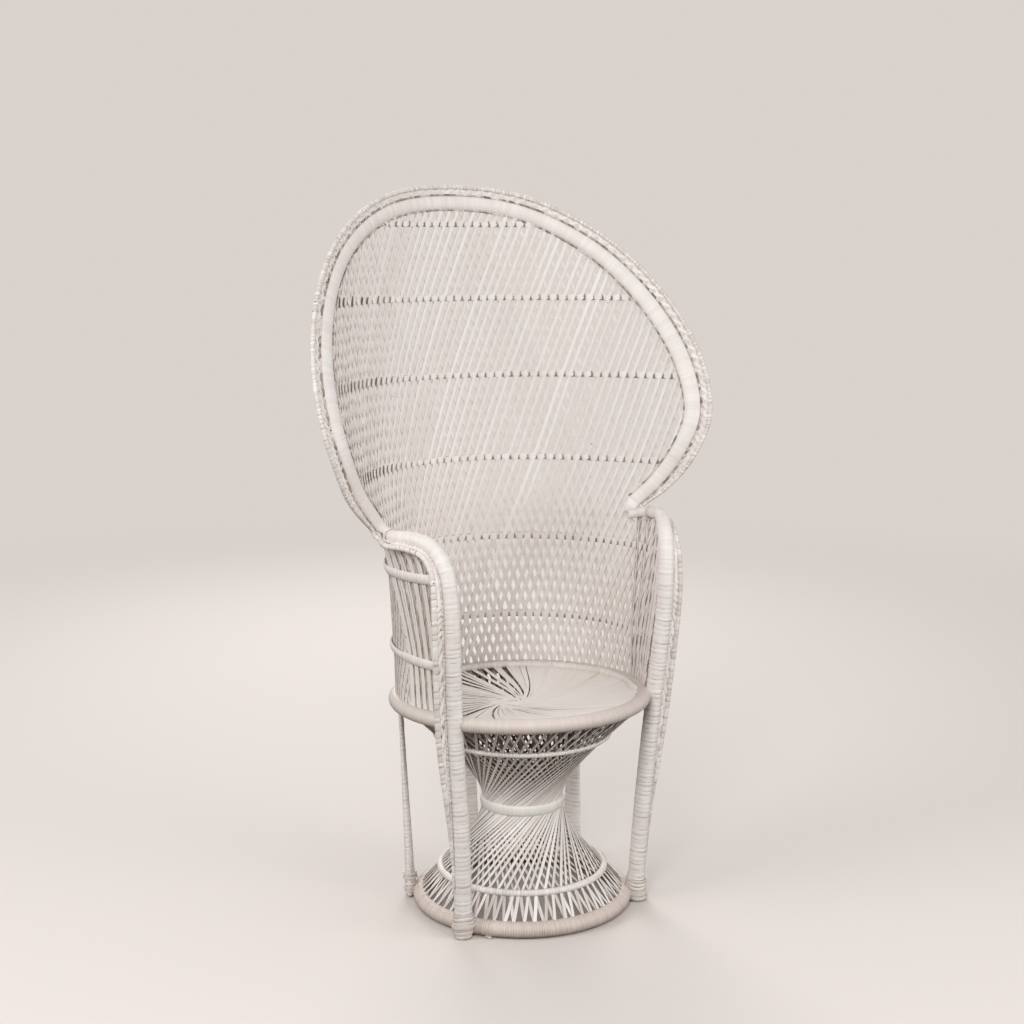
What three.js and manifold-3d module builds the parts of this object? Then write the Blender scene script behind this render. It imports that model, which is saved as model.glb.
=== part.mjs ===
// A rattan peacock chair: a round woven seat on an hourglass of crossing canes, with a tall scooped
// lattice back inside a fan-shaped wrapped roll, rolled arms that run down as front legs, and three
// flat rear legs. Every length is in millimetres. Z is up, the sitter faces -Y, and the seat's axis
// is the Z axis until the last line of the file centres the chair over its footprint.

import * as THREE from 'three';
import Module from 'manifold-3d';
import { mergeVertices } from 'three/addons/utils/BufferGeometryUtils.js';

// Driving dimensions: seat and base
const gap = 0.3;
const baseRingRadius = 212;
const baseRingTube = 17.5;
const lowerHoopRadius = 185;
const lowerHoopTube = 6.5;
const lowerHoopHeight = 79;
const lowerConeNest = 2.6;
const waistRadius = 95.5;
const waistHeight = 219.5;
const waistBandTall = 21;
const waistBandThick = 4.5;
const upperHoopTube = 5.5;
const upperHoopNest = 1.1;
const seatRimRadius = 245;
const seatRimTube = 13.4;
const seatRimHeight = 445.5;
const seatWeaveThick = 5;
const seatWeaveRise = 5.5;
const seatDish = 3;
const seatHubRadius = 26;
const seatRib = 1.2;
const backHoopTube = 6;

// Driving dimensions: back and fan
const backStandOff = 3;
const backLean = 62;
const scoopLow = 240;
const scoopHigh = 445;
const scoopEase = 1.6;
const flareStart = 520;
const flareEnd = 900;
const joinTurn = THREE.MathUtils.degToRad(92.41);
const armHeight = 802;
const fanHalfSpan = 517.5;
const fanRise = 646;
const fanRollRadius = 15;
const fanRollCrown = 2;
const edgeOffset = 36;
const edgeRodRadius = 4.8;
const rowTall = 12;
const rowThick = 6;

// Driving dimensions: arms and legs
const armHalfSpan = 305;
const armDepth = 161;
const armRollRadius = 12.5;
const legRadius = 16;
const shinRadius = 13.5;
const legAngle = THREE.MathUtils.degToRad(57.5);
const footLift = 1;
const edgeRodFoot = 105;
const rearLegWide = 29;
const rearLegThick = 11;
const rearLegAngle = THREE.MathUtils.degToRad(123);
const armPanelDrop = 44;
const attachTurn = THREE.MathUtils.degToRad(40);
const bulgeLow = 3;
const bulgeHigh = 19;

// Driving dimensions: canes and bindings
const caneWide = 5.5;
const caneThick = 4.5;
const backCaneWide = 5;
const backCaneThick = 4;
const webCaneWide = 2.6;
const webCaneThick = 2.6;
const webSlack = 0.4;
const rowSlack = 2;
const fanRowSlack = 1.1;
const fanSlack = 2;
const jointWrapTall = 16;
const jointWrapThick = 2.2;
const jointWrapSlack = 0.6;
const bindingTall = 30;
const bindingThick = 4.5;
const bindingRib = 1.6;
const bindingSlack = 0.4;
const battenWide = 22;
const battenThick = 8;
const battenSpread = 150;

// Shares: of the height from the waist to the seat, of a lattice cell, and of other sizes named with them
const upperHoopShare = 0.64;
const sideRowShares = [0.317, 0.791];
const fanRowShares = [0.159, 0.429, 0.684, 0.926];
const rowSideShares = [0.2, 0.4, 0.6, 0.8, 0.9];
const rearLegShares = [0, 0.5, 1];
const widestNodeShare = 0.4;
const probeShare = 0.01;
const droopShare = 0.7;
const legCornerShare = 0.6;
const flatCollarShare = 1.12;
const shoulderShare = 0.125;
const edgeCloseShare = 0.11;
const armTaperShare = 0.72;

// Counts
const ringSides = 8;
const ringSteps = 36;
const hoopSides = 5;
const hoopSteps = 24;
const skirtColumns = 18;
const coneColumns = 12;
const lowerConeRows = 5;
const upperConeRows = 6;
const backColumns = 14;
const backRows = 10;
const cuspRow = 4;
const armColumns = 3;
const armRows = 8;
const fanSteps = 48;
const fanWebStart = 3;
const stepsPerArmSpan = 3;
const armWebStart = 6;
const armWebEnd = 26;
const rowSteps = 13;
const seatCanes = 24;
const bindingRibs = 3;
const collarSides = 10;
const searchSteps = 30;
const jointWrapPoint = 1.5;

// The fan's roll, from its top middle down to the arm: shares of the half span and of the rise.
const fanShares = [
  [0, 1], [0.303, 0.968], [0.58, 0.856], [0.796, 0.691], [0.943, 0.509],
  [1, 0.34], [0.959, 0.216], [0.86, 0.096], [0.762, 0.02],
];

// The arm's roll, from its rear end round to the leg: shares of the arm's half span, depth and height.
const armShares = [
  [0.9, 0.16, 0.985], [0.975, 0.02, 0.995], [0.984, -0.26, 0.999], [0.93, -0.52, 1],
  [0.868, -0.76, 0.985], [0.823, -0.935, 0.94], [0.8, -1, 0.873], [0.787, -1, 0.78],
];

// Colours of the painted cane, lighter on the wrapped rolls than in the weave.
const paint = { roll: 0xf1ece6, hoop: 0xe9e2db, weave: 0xe4dcd6, seat: 0xece4da, binding: 0xdfd6c6 };

const { PI, sin, cos, tan, sqrt, hypot, min, max, asinh, acos, round } = Math;
const full = 2 * PI;
const half = (size) => size / 2;
const lerp = THREE.MathUtils.lerp;
const vec = (x, y, z) => new THREE.Vector3(x, y, z);

const wasm = await Module();
wasm.setup();

// Solids

/** Turns points and triangles into one geometry whose faces point out. */
function solid(points, triangles) {
  let volume = 0;
  for (const [a, b, c] of triangles) {
    volume += points[a].dot(points[b].clone().cross(points[c]));
  }
  const geometry = new THREE.BufferGeometry();
  geometry.setAttribute('position', new THREE.Float32BufferAttribute(points.flatMap((p) => p.toArray()), 3));
  geometry.setIndex(triangles.flatMap(([a, b, c]) => (volume > 0 ? [a, b, c] : [a, c, b])));
  return geometry;
}

/** A round outline as [across, out] pairs, with a flat at the bottom. */
function circle(sides, radius) {
  return Array.from({ length: sides }, (_, k) => {
    const turn = ((k + 0.5) * full) / sides;
    return [radius * sin(turn), -radius * cos(turn)];
  });
}

/** A ring of the given outline, spun round the Z axis. */
function ring(outline, radius, height, steps) {
  const profile = outline.map(([across, out]) => new THREE.Vector2(radius + across, height + out));
  profile.push(profile[0].clone());
  const spun = new THREE.LatheGeometry(profile, steps);
  spun.rotateX(half(PI));
  return closeMesh(spun);
}

/** Drops normals and uvs, and joins the seam, so that only the closed shape is left. */
function closeMesh(geometry) {
  geometry.deleteAttribute('normal');
  geometry.deleteAttribute('uv');
  const merged = mergeVertices(geometry);
  const place = merged.getAttribute('position');
  const points = Array.from({ length: place.count }, (_, k) => vec().fromBufferAttribute(place, k));
  const index = Array.from(merged.index.array);
  const triangles = [];
  for (let k = 0; k < index.length; k += 3) {
    const [a, b, c] = index.slice(k, k + 3);
    if (a !== b && b !== c && c !== a) triangles.push([a, b, c]);
  }
  return solid(points, triangles);
}

/** Sweeps an outline along points. side(k) is the direction of the outline's first number there. */
function sweep(points, side, outline) {
  const corners = [];
  const triangles = [];
  const last = points.length - 1;
  points.forEach((point, k) => {
    const along = points[min(k + 1, last)].clone().sub(points[max(k - 1, 0)]).normalize();
    const across = side(k).clone();
    across.addScaledVector(along, -across.dot(along)).normalize();
    const out = along.clone().cross(across);
    for (const [p, q] of outline(k)) {
      corners.push(point.clone().addScaledVector(across, p).addScaledVector(out, q));
    }
  });
  const sides = outline(0).length;
  for (let k = 0; k < last; k += 1) {
    for (let s = 0; s < sides; s += 1) {
      const next = (s + 1) % sides;
      const [a, b] = [k * sides + s, k * sides + next];
      triangles.push([a, b, b + sides], [a, b + sides, a + sides]);
    }
  }
  for (let s = 1; s < sides - 1; s += 1) {
    triangles.push([0, s + 1, s], [last * sides, last * sides + s, last * sides + s + 1]);
  }
  return solid(corners, triangles);
}

/**
 * A net of two crossing families of strands, fused where they cross and along its borders.
 * place(a, b) bends it onto a surface, with a and b from 0 to 1. A closed net has no side borders,
 * and nor has one with an odd number of rows, which is a zigzag.
 */
function net({ columns, rows, closed, strand, thick, place }) {
  const wide = 2 * columns;
  const keys = new Map();
  const points = [];
  const faces = [];
  const spot = (i, j) => place(closed ? i / wide : min(max(i / wide, 0), 1), min(max(j / rows, 0), 1));
  const corner = (i, j) => {
    const key = `${round((closed ? (i + wide) % wide : i) * 1e5)} ${round(j * 1e5)}`;
    if (!keys.has(key)) {
      keys.set(key, points.length);
      const across = spot(i + probeShare, j).sub(spot(i - probeShare, j));
      const up = spot(i, j + probeShare).sub(spot(i, j - probeShare));
      points.push({ at: spot(i, j), out: across.cross(up).normalize() });
    }
    return keys.get(key);
  };
  const share = (i, j) => {
    const cellWide = spot(i + 1, j).distanceTo(spot(i - 1, j)) * (!closed && (i === 0 || i === wide) ? 2 : 1);
    const cellTall = spot(i, j + 1).distanceTo(spot(i, j - 1)) * (j === 0 || j === rows ? 2 : 1);
    return min((strand * hypot(cellWide, cellTall)) / (cellWide * cellTall), widestNodeShare);
  };
  const node = (i, j) => {
    const d = share(i, j);
    const [low, high] = [j === 0, j === rows];
    const [left, right] = [!closed && i === 0, !closed && i === wide];
    const onSide = left || right;
    const inX = left ? d : -d;
    const inY = low ? d : -d;
    const steep = onSide ? 2 * d : d;
    return {
      top: high ? corner(i, j) : corner(i + (onSide ? inX : 0), j + steep),
      bottom: low ? corner(i, j) : corner(i + (onSide ? inX : 0), j - steep),
      right: right ? corner(i, j) : corner(i + (low || high ? 2 * d : d), j + (low || high ? inY : 0)),
      left: left ? corner(i, j) : corner(i - (low || high ? 2 * d : d), j + (low || high ? inY : 0)),
    };
  };
  const nodes = new Map();
  const nodeAt = (i, j) => {
    const key = `${closed ? (i + wide) % wide : i} ${j}`;
    if (!nodes.has(key)) nodes.set(key, node(closed ? (i + wide) % wide : i, j));
    return nodes.get(key);
  };
  const face = (...loop) => faces.push([loop[0], loop[1], loop[2]], [loop[0], loop[2], loop[3]]);
  for (let j = 0; j <= rows; j += 1) {
    for (let i = j % 2; i <= (closed ? wide - 1 : wide); i += 2) {
      const here = nodeAt(i, j);
      face(here.bottom, here.right, here.top, here.left);
      if (j < rows && (closed || i < wide)) {
        const next = nodeAt(i + 1, j + 1);
        face(here.right, next.bottom, next.left, here.top);
      }
      if (j < rows && (closed || i > 0)) {
        const next = nodeAt(i - 1, j + 1);
        face(here.top, next.right, next.bottom, here.left);
      }
      if (closed && j === 0) {
        const next = nodeAt(i + 2, j);
        face(here.bottom, next.bottom, next.left, here.right);
      }
      if (closed && j === rows) {
        const next = nodeAt(i + 2, j);
        face(here.right, next.left, next.top, here.top);
      }
      if (!closed && (j === 0 || j === rows) && i + 2 <= wide) {
        const next = nodeAt(i + 2, j);
        const inner = corner(i + 1, j === 0 ? share(i + 1, j) : j - share(i + 1, j));
        const outer = corner(i + 1, j);
        if (j === 0) {
          face(here.bottom, outer, inner, here.right);
          face(outer, next.bottom, next.left, inner);
        } else {
          face(here.right, inner, outer, here.top);
          face(inner, next.left, next.top, outer);
        }
      }
      if (!closed && (i === 0 || i === wide) && j + 2 <= rows) {
        const next = nodeAt(i, j + 2);
        const inner = corner(i === 0 ? share(i, j + 1) : i - share(i, j + 1), j + 1);
        const outer = corner(i, j + 1);
        if (i === 0) {
          face(here.left, here.top, inner, outer);
          face(outer, inner, next.bottom, next.left);
        } else {
          face(here.top, here.right, outer, inner);
          face(inner, outer, next.right, next.bottom);
        }
      }
    }
  }
  return thicken(points, faces.filter(([a, b, c]) => a !== b && b !== c && c !== a), thick);
}

/** Gives a sheet of triangles its thickness, with a wall along each edge that only one face uses. */
function thicken(points, faces, thick) {
  const upper = points.map(({ at, out }) => at.clone().addScaledVector(out, half(thick)));
  const lower = points.map(({ at, out }) => at.clone().addScaledVector(out, -half(thick)));
  const count = points.length;
  const edges = new Set(faces.flatMap(([a, b, c]) => [`${a} ${b}`, `${b} ${c}`, `${c} ${a}`]));
  const triangles = faces.flatMap(([a, b, c]) => [[a, b, c], [a + count, c + count, b + count]]);
  for (const edge of edges) {
    const [a, b] = edge.split(' ').map(Number);
    if (!edges.has(`${b} ${a}`)) triangles.push([b, a, a + count], [b, a + count, b + count]);
  }
  return solid([...upper, ...lower], triangles);
}

/** Cuts one geometry by others. */
function cut(geometry, ...tools) {
  const load = (shape) => new wasm.Manifold(new wasm.Mesh({
    numProp: 3,
    vertProperties: shape.getAttribute('position').array,
    triVerts: new Uint32Array(shape.index.array),
  }));
  const left = tools.reduce((body, tool) => body.subtract(load(tool)), load(geometry)).getMesh();
  const result = new THREE.BufferGeometry();
  result.setAttribute('position', new THREE.Float32BufferAttribute(left.vertProperties, 3));
  result.setIndex(Array.from(left.triVerts));
  return result;
}

const frontward = () => vec(0, -1, 0);
const sideways = () => vec(1, 0, 0);
const upward = () => vec(0, 0, 1);

const chair = new THREE.Group();

/** Adds one named piece in a finish of its own. */
function add(name, geometry, color, roughness = 0.6) {
  const material = new THREE.MeshStandardMaterial({ color, roughness, metalness: 0, flatShading: true });
  const mesh = new THREE.Mesh(geometry, material);
  mesh.name = name;
  chair.add(mesh);
}

// Base: ring on the floor, skirt, hoops, hourglass and waist band

const baseRingHeight = baseRingTube * cos(PI / ringSides);
const baseRingTop = 2 * baseRingHeight;
const upperHoopHeight = lerp(waistHeight, seatRimHeight, upperHoopShare);
const waistLow = waistHeight - half(waistBandTall);
const waistHigh = waistHeight + half(waistBandTall);

/** A point at a turn from the front of the chair. */
const fromFront = (turn, radius, height) => vec(radius * sin(turn), -radius * cos(turn), height);

/** Places a point of a round net at a share of the turn, a radius and a height. */
const roundPlace = (turnShare, radius, height) => fromFront(turnShare * full, radius, height);

/** Radius of the hourglass at a height above or below its waist, from its radius at its far end. */
function hourglass(rise, endRadius, endRise) {
  const spread = (sqrt(endRadius ** 2 - waistRadius ** 2) / waistRadius / endRise) * rise;
  return waistRadius * hypot(1, spread);
}

/** Share of the height at which straight canes have turned through a share of their whole turn. */
function turnedShare(share, endRadius) {
  const turn = acos(waistRadius / endRadius);
  return tan(share * turn) / tan(turn);
}

/** A round ring of round section. */
const torus = (sides, tube, radius, height, steps) => ring(circle(sides, tube), radius, height, steps);

add('base_ring', torus(ringSides, baseRingTube, baseRingRadius, baseRingHeight, ringSteps), paint.roll);

const skirtLean = Math.atan2(baseRingRadius - lowerHoopRadius, lowerHoopHeight - baseRingTop);
const skirtLip = half(caneThick) * sin(skirtLean) + gap;
const skirtLow = baseRingTop + skirtLip;
const skirtHigh = lowerHoopHeight - lowerHoopTube * cos(PI / hoopSides) - skirtLip;
add('skirt_weave', net({
  columns: skirtColumns,
  rows: 1,
  closed: true,
  strand: caneWide,
  thick: caneThick,
  place: (a, b) => {
    const radius = lerp(baseRingRadius - half(caneThick), lowerHoopRadius, b);
    return roundPlace(a, radius, lerp(skirtLow, skirtHigh, b));
  },
}), paint.weave);

add('lower_hoop', torus(hoopSides, lowerHoopTube, lowerHoopRadius, lowerHoopHeight, hoopSteps), paint.hoop);

const lowerConeRadius = lowerHoopRadius - caneThick;
const lowerConeFoot = lowerHoopHeight + lowerHoopTube + gap - lowerConeNest;
const lowerConeRise = waistLow - gap - lowerConeFoot;
add('lower_cone_weave', net({
  columns: coneColumns,
  rows: lowerConeRows,
  closed: true,
  strand: caneWide,
  thick: caneThick,
  place: (a, b) => {
    const drop = lowerConeRise * turnedShare(1 - b, lowerConeRadius);
    return roundPlace(a, hourglass(drop, lowerConeRadius, lowerConeRise), waistLow - gap - drop);
  },
}), paint.weave);

const bandSection = [
  [-waistBandThick, -half(waistBandTall)], [half(waistBandThick), -half(waistBandTall)],
  [waistBandThick, -half(waistBandTall) + half(waistBandThick)],
  [waistBandThick, half(waistBandTall) - half(waistBandThick)],
  [half(waistBandThick), half(waistBandTall)], [-waistBandThick, half(waistBandTall)],
];
add('waist_band', ring(bandSection, waistRadius, waistHeight, hoopSteps), paint.hoop);

const upperConeRadius = seatRimRadius - seatRimTube + half(caneThick);
const upperConeReach = seatRimRadius - upperConeRadius - half(caneThick);
const upperConeTop = seatRimHeight - sqrt((seatRimTube + gap) ** 2 - upperConeReach ** 2) - gap;
const upperConeRise = upperConeTop - waistHigh - gap;
add('upper_cone_weave', net({
  columns: coneColumns,
  rows: upperConeRows,
  closed: true,
  strand: caneWide,
  thick: caneThick,
  place: (a, b) => {
    const rise = upperConeRise * turnedShare(b, upperConeRadius);
    return roundPlace(a, hourglass(rise, upperConeRadius, upperConeRise), waistHigh + gap + rise);
  },
}), paint.weave);

const upperHoopSeat = upperHoopHeight + upperHoopTube - waistHigh - gap;
const upperHoopInner = hourglass(upperHoopSeat, upperConeRadius, upperConeRise) + half(caneThick);
const upperHoopRadius = upperHoopInner + upperHoopTube - upperHoopNest;
add('upper_hoop', torus(hoopSides, upperHoopTube, upperHoopRadius, upperHoopHeight, hoopSteps), paint.hoop);

// Seat: rim, battens, woven disc and the hoop at its back

add('seat_rim', torus(ringSides, seatRimTube, seatRimRadius, seatRimHeight, ringSteps), paint.roll);

const seatTop = seatRimHeight + seatRimTube * cos(PI / ringSides);
const seatWeaveTop = seatRimHeight + seatWeaveRise + half(seatWeaveThick);
const seatWeaveLow = seatWeaveRise - half(seatWeaveThick);
const seatWeaveRadius = seatRimRadius - sqrt((seatRimTube + gap) ** 2 - seatWeaveLow ** 2);

/** A disc of flat canes that spiral out of a hub, each with a ridge, dished towards the middle. */
function spiralDisc() {
  const steps = 2 * seatCanes;
  const radii = [seatHubRadius, half(seatWeaveRadius + seatHubRadius), seatWeaveRadius];
  const spiral = full / seatCanes;
  const points = [];
  const triangles = [];
  for (const lift of [half(seatWeaveThick), -half(seatWeaveThick)]) {
    radii.forEach((radius, ringIndex) => {
      for (let k = 0; k < steps; k += 1) {
        const turn = (k * full) / steps + spiral * ringIndex;
        const ridge = ringIndex > 0 && lift > 0 ? seatRib * (k % 2) : 0;
        const dish = seatDish * (1 - (radius / seatWeaveRadius) ** 2);
        const height = seatRimHeight + seatWeaveRise + lift - dish - ridge;
        points.push(vec(radius * cos(turn), radius * sin(turn), height));
      }
    });
    points.push(vec(0, 0, seatRimHeight + seatWeaveRise + lift - seatDish));
  }
  const layer = radii.length * steps + 1;
  for (let k = 0; k < steps; k += 1) {
    const next = (k + 1) % steps;
    triangles.push([layer - 1, k, next], [2 * layer - 1, layer + next, layer + k]);
    for (let ringIndex = 0; ringIndex < radii.length - 1; ringIndex += 1) {
      const [a, b] = [ringIndex * steps + k, ringIndex * steps + next];
      triangles.push([a, a + steps, b + steps], [a, b + steps, b]);
      const [c, d] = [layer + a, layer + b];
      triangles.push([c, d + steps, c + steps], [c, d, d + steps]);
    }
    const [a, b] = [(radii.length - 1) * steps + k, (radii.length - 1) * steps + next];
    triangles.push([a, a + layer, b + layer], [a, b + layer, b]);
  }
  return solid(points, triangles);
}
add('seat_weave', spiralDisc(), paint.seat);

const battenTop = seatRimHeight + seatWeaveRise - half(seatWeaveThick) - seatDish - gap;
const battenReach = sqrt((seatRimRadius - seatRimTube - gap) ** 2 - half(battenSpread + battenWide) ** 2);
for (const [name, sign] of [['seat_batten_left', -1], ['seat_batten_right', 1]]) {
  const batten = new THREE.BoxGeometry(battenWide, 2 * battenReach, battenThick);
  batten.translate(sign * half(battenSpread), 0, battenTop - half(battenThick));
  add(name, closeMesh(batten), paint.weave);
}

const backHoopHeight = seatWeaveTop + backHoopTube + gap;
const backHoopReach = sqrt((seatRimTube + backHoopTube + gap) ** 2 - (backHoopHeight - seatRimHeight) ** 2);
const backHoopRadius = seatRimRadius - backHoopReach;
const backHoopTurn = PI - legAngle;
const backHoopPoints = Array.from({ length: hoopSteps + 1 }, (_, k) => {
  const turn = lerp(-backHoopTurn, backHoopTurn, k / hoopSteps);
  return vec(backHoopRadius * sin(turn), backHoopRadius * cos(turn), backHoopHeight);
});
const backHoopSection = circle(hoopSides + 1, backHoopTube);
add('seat_back_hoop', sweep(backHoopPoints, upward, () => backHoopSection), paint.hoop);

// Back: the scoop that the lattice lies on, and the fan's outline drawn on it

const backRadius = seatRimRadius + backStandOff;
const joinSpan = backRadius * joinTurn;
const fanTop = armHeight + fanRise;
const ease = (share) => THREE.MathUtils.smoothstep(share, 0, 1);

/** The back's surface: span is measured along it from the middle, height is above the floor. */
function scoop(span, height) {
  const rise = (height - seatTop) / (fanTop - seatTop);
  const opened = min(max((height - armHeight) / fanRise, 0), 1);
  const sag = lerp(scoopLow, scoopHigh, 1 - (1 - opened) ** scoopEase);
  const flare = ease((height - flareStart) / (flareEnd - flareStart));
  const turn = span / backRadius;
  const x = lerp(backRadius * sin(turn), sag * asinh(span / sag), flare);
  const depth = lerp(backRadius * (1 - cos(turn)), hypot(sag, span) - sag, flare);
  return vec(x, backRadius + backLean * rise - depth, height);
}

const fanHalf = fanShares.map(([span, rise]) => vec(span * fanHalfSpan, 0, armHeight + rise * fanRise));
const mirrored = fanHalf.slice(1).map((p) => vec(-p.x, 0, p.z));
const fanOutline = new THREE.CatmullRomCurve3([...mirrored.reverse(), ...fanHalf], false, 'catmullrom', 0.5);

/** A point of the fan's outline in span and height, moved outwards square to it. */
function fanSpot(share, outwards) {
  const place = fanOutline.getPoint(share);
  const along = fanOutline.getTangent(share);
  return { span: place.x - along.z * outwards, height: place.z + along.x * outwards };
}

/** The same point in space. */
function fanPoint(share, outwards) {
  const { span, height } = fanSpot(share, outwards);
  return scoop(span, height);
}

/** How far the fan's edge rod stands out: it closes in on the roll towards both feet. */
function fanReach(share) {
  const open = ease(min(share, 1 - share) / edgeCloseShare);
  return lerp(fanRollSize(share) + edgeRodRadius + gap, edgeOffset, open);
}

/** The fan's edge stands out from the roll in the chair's front plane. */
function fanEdge(share, outwards) {
  const along = fanPoint(min(share + probeShare, 1), 0).sub(fanPoint(max(share - probeShare, 0), 0));
  const flat = hypot(along.x, along.z);
  return fanPoint(share, 0).add(vec(-along.z / flat, 0, along.x / flat).multiplyScalar(outwards));
}

const fanMarks = Array.from({ length: fanSteps + 1 }, (_, k) => k / fanSteps);
const fanRollSize = (share) => fanRollRadius + fanRollCrown * sin(share * PI);

// Arms: one roll from the fan's foot over the arm and down as the front leg

const legSeatRadius = seatRimRadius + seatRimTube * cos(PI / ringSides) + gap + legRadius;
const legFootRadius = baseRingRadius + baseRingTube * cos(PI / ringSides) + gap + shinRadius;
const armPoints = [
  ...armShares.map(([x, y, z]) => vec(x * armHalfSpan, y * armDepth, z * armHeight)),
  fromFront(legAngle, legSeatRadius, seatRimHeight),
  fromFront(legAngle, half(legSeatRadius + legFootRadius), half(seatRimHeight)),
  fromFront(legAngle, legFootRadius, baseRingTop),
  fromFront(legAngle, legFootRadius, footLift),
];
const armCurve = new THREE.CatmullRomCurve3(armPoints, false, 'centripetal');
const armSteps = stepsPerArmSpan * (armPoints.length - 1);
const armMark = (index) => index / (armPoints.length - 1);
const seatMark = armMark(armShares.length);

/** Radius of the roll: thin at its rear end and on the arm, thickest where it passes the seat. */
function armSize(share) {
  if (share < seatMark) {
    const grown = ease(share / seatMark);
    return lerp(armRollRadius * lerp(armTaperShare, 1, ease(share / armMark(2))), legRadius, grown);
  }
  return lerp(legRadius, shinRadius, ease((share - seatMark) / (armMark(armShares.length + 1) - seatMark)));
}

/** Where the arm's curve passes a height on its way down as a leg. */
function legAt(height) {
  let [low, high] = [armMark(4), 1];
  for (let k = 0; k < searchSteps; k += 1) {
    const middle = half(low + high);
    if (armCurve.getPoint(middle).z > height) low = middle;
    else high = middle;
  }
  return low;
}

/** Puts a point of the right-hand arm on either side. */
const onSide = (sign, point) => vec(sign * point.x, point.y, point.z);

/** The arm's flange stands outwards, and droops where the arm is level. */
function flange(share, outwards) {
  const along = armCurve.getTangent(share);
  const level = hypot(along.x, along.y);
  const outboard = vec(1, 0, -droopShare * level);
  outboard.addScaledVector(along, -outboard.dot(along)).normalize();
  return armCurve.getPoint(share).addScaledVector(outboard, outwards);
}

const edgeFootMark = legAt(edgeRodFoot);
const edgeFootStep = Math.floor(edgeFootMark * armSteps);
const edgeMarks = Array.from(
  { length: edgeFootStep - stepsPerArmSpan + 1 },
  (_, k) => (stepsPerArmSpan + k) / armSteps,
);

/** How far the arm's edge rod stands out: it closes in on the roll at the fan and towards the floor. */
function edgeReach(share) {
  const opening = ease((share - armMark(1)) / (armMark(2) - armMark(1)));
  const closing = ease((share - seatMark) / (edgeFootMark - seatMark));
  return lerp(edgeOffset, armSize(share) + edgeRodRadius + gap, max(1 - opening, closing));
}

for (const [side, sign] of [['left', -1], ['right', 1]]) {
  const marks = Array.from({ length: armSteps + 1 }, (_, k) => k / armSteps);
  const roll = sweep(
    marks.map((share) => onSide(sign, armCurve.getPoint(share))),
    sideways,
    (k) => circle(ringSides, armSize(marks[k])),
  );
  add(`arm_and_leg_${side}`, roll, paint.roll);
}

// Fan: roll, edge rod and the open cane band between them

/** The arm's roll grown by a clearance, to cut what lands on it. */
function grownArm(sign, clearance) {
  const marks = Array.from({ length: 4 * stepsPerArmSpan + 1 }, (_, k) => k / armSteps);
  return sweep(
    marks.map((share) => onSide(sign, armCurve.getPoint(share))),
    sideways,
    (k) => circle(ringSides, armSize(marks[k]) + clearance),
  );
}
const armTools = [grownArm(-1, gap), grownArm(1, gap)];

const fanRoll = sweep(
  fanMarks.map((share) => fanPoint(share, 0)),
  frontward,
  (k) => circle(ringSides, fanRollSize(fanMarks[k])),
);
add('fan_roll', cut(fanRoll, ...armTools), paint.roll);

const fanRod = sweep(
  fanMarks.map((share) => fanEdge(share, fanReach(share))),
  frontward,
  () => circle(hoopSides, edgeRodRadius),
);
add('fan_edge_rod', cut(fanRod, ...armTools), paint.hoop);

add('fan_edge_web', net({
  columns: half(fanSteps) - fanWebStart,
  rows: 1,
  closed: false,
  strand: webCaneWide,
  thick: webCaneThick,
  place: (a, b) => {
    const share = lerp(fanWebStart, fanSteps - fanWebStart, a) / fanSteps;
    const inner = fanRollSize(share) * cos(PI / ringSides) + webSlack;
    return fanEdge(share, lerp(inner, fanReach(share) - edgeRodRadius - webSlack, b));
  },
}), paint.weave);

// Lattice of the back, in span and height, filled in from its four borders

const fanInset = fanRollRadius + fanRollCrown + fanSlack;
const latticeFoot = seatTop + gap;
const latticeSide = joinSpan - gap;
const cuspShare = cuspRow / backRows;

/** The lattice's side border on the right: straight up to the arm, then inside the fan's roll. */
function sideBorder(share) {
  if (share <= cuspShare) {
    const foot = fanSpot(1, -fanInset);
    const rise = share / cuspShare;
    return { span: lerp(latticeSide, foot.span, rise), height: lerp(latticeFoot, foot.height, rise) };
  }
  const along = lerp(1, 0.5 + shoulderShare, (share - cuspShare) / (1 - cuspShare));
  return fanSpot(along, -fanInset);
}

/** A point of the lattice, as a blend of its borders. */
function latticePoint(a, b) {
  const across = 2 * a - 1;
  const side = sideBorder(b);
  const top = fanSpot(0.5 + shoulderShare * across, -fanInset);
  const corner = sideBorder(1);
  const aside = (side.span - lerp(latticeSide, corner.span, b)) * across;
  const span = lerp(latticeSide * across, top.span, b) + aside;
  const height = lerp(latticeFoot, top.height, b) + side.height - lerp(latticeFoot, corner.height, b);
  return scoop(span, height);
}
add('back_lattice', net({
  columns: backColumns,
  rows: backRows,
  closed: false,
  strand: backCaneWide,
  thick: backCaneThick,
  place: (a, b) => latticePoint(1 - a, b),
}), paint.weave);

// Side panels under the arms

const armPanelTop = armHeight - armRollRadius - 2 * backCaneThick;

/** Height of the side panel's top at a share of the way from the back to the leg. */
const sideTop = (a) => armPanelTop - armPanelDrop * a ** 5;

/** A point of the right-hand side panel: a runs from the back to the leg, b from the seat to the arm. */
function armPanelPoint(a, b, outwards = 0) {
  const height = lerp(latticeFoot, sideTop(a), b);
  const rise = (height - latticeFoot) / (armPanelTop - latticeFoot);
  const mark = legAt(height);
  const leg = armCurve.getPoint(mark);
  const stand = armSize(mark) + gap + half(backCaneThick);
  const turn = attachTurn * (1 - rise);
  const front = vec(leg.x - stand * sin(turn), leg.y + stand * cos(turn), height);
  const rear = scoop(joinSpan + gap, height);
  const chord = front.clone().sub(rear);
  const out = vec(-chord.y, chord.x, 0).normalize();
  const bulge = 4 * a * (1 - a) * lerp(bulgeLow, bulgeHigh, rise);
  return rear.lerp(front, a).addScaledVector(out, bulge + outwards);
}

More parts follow.
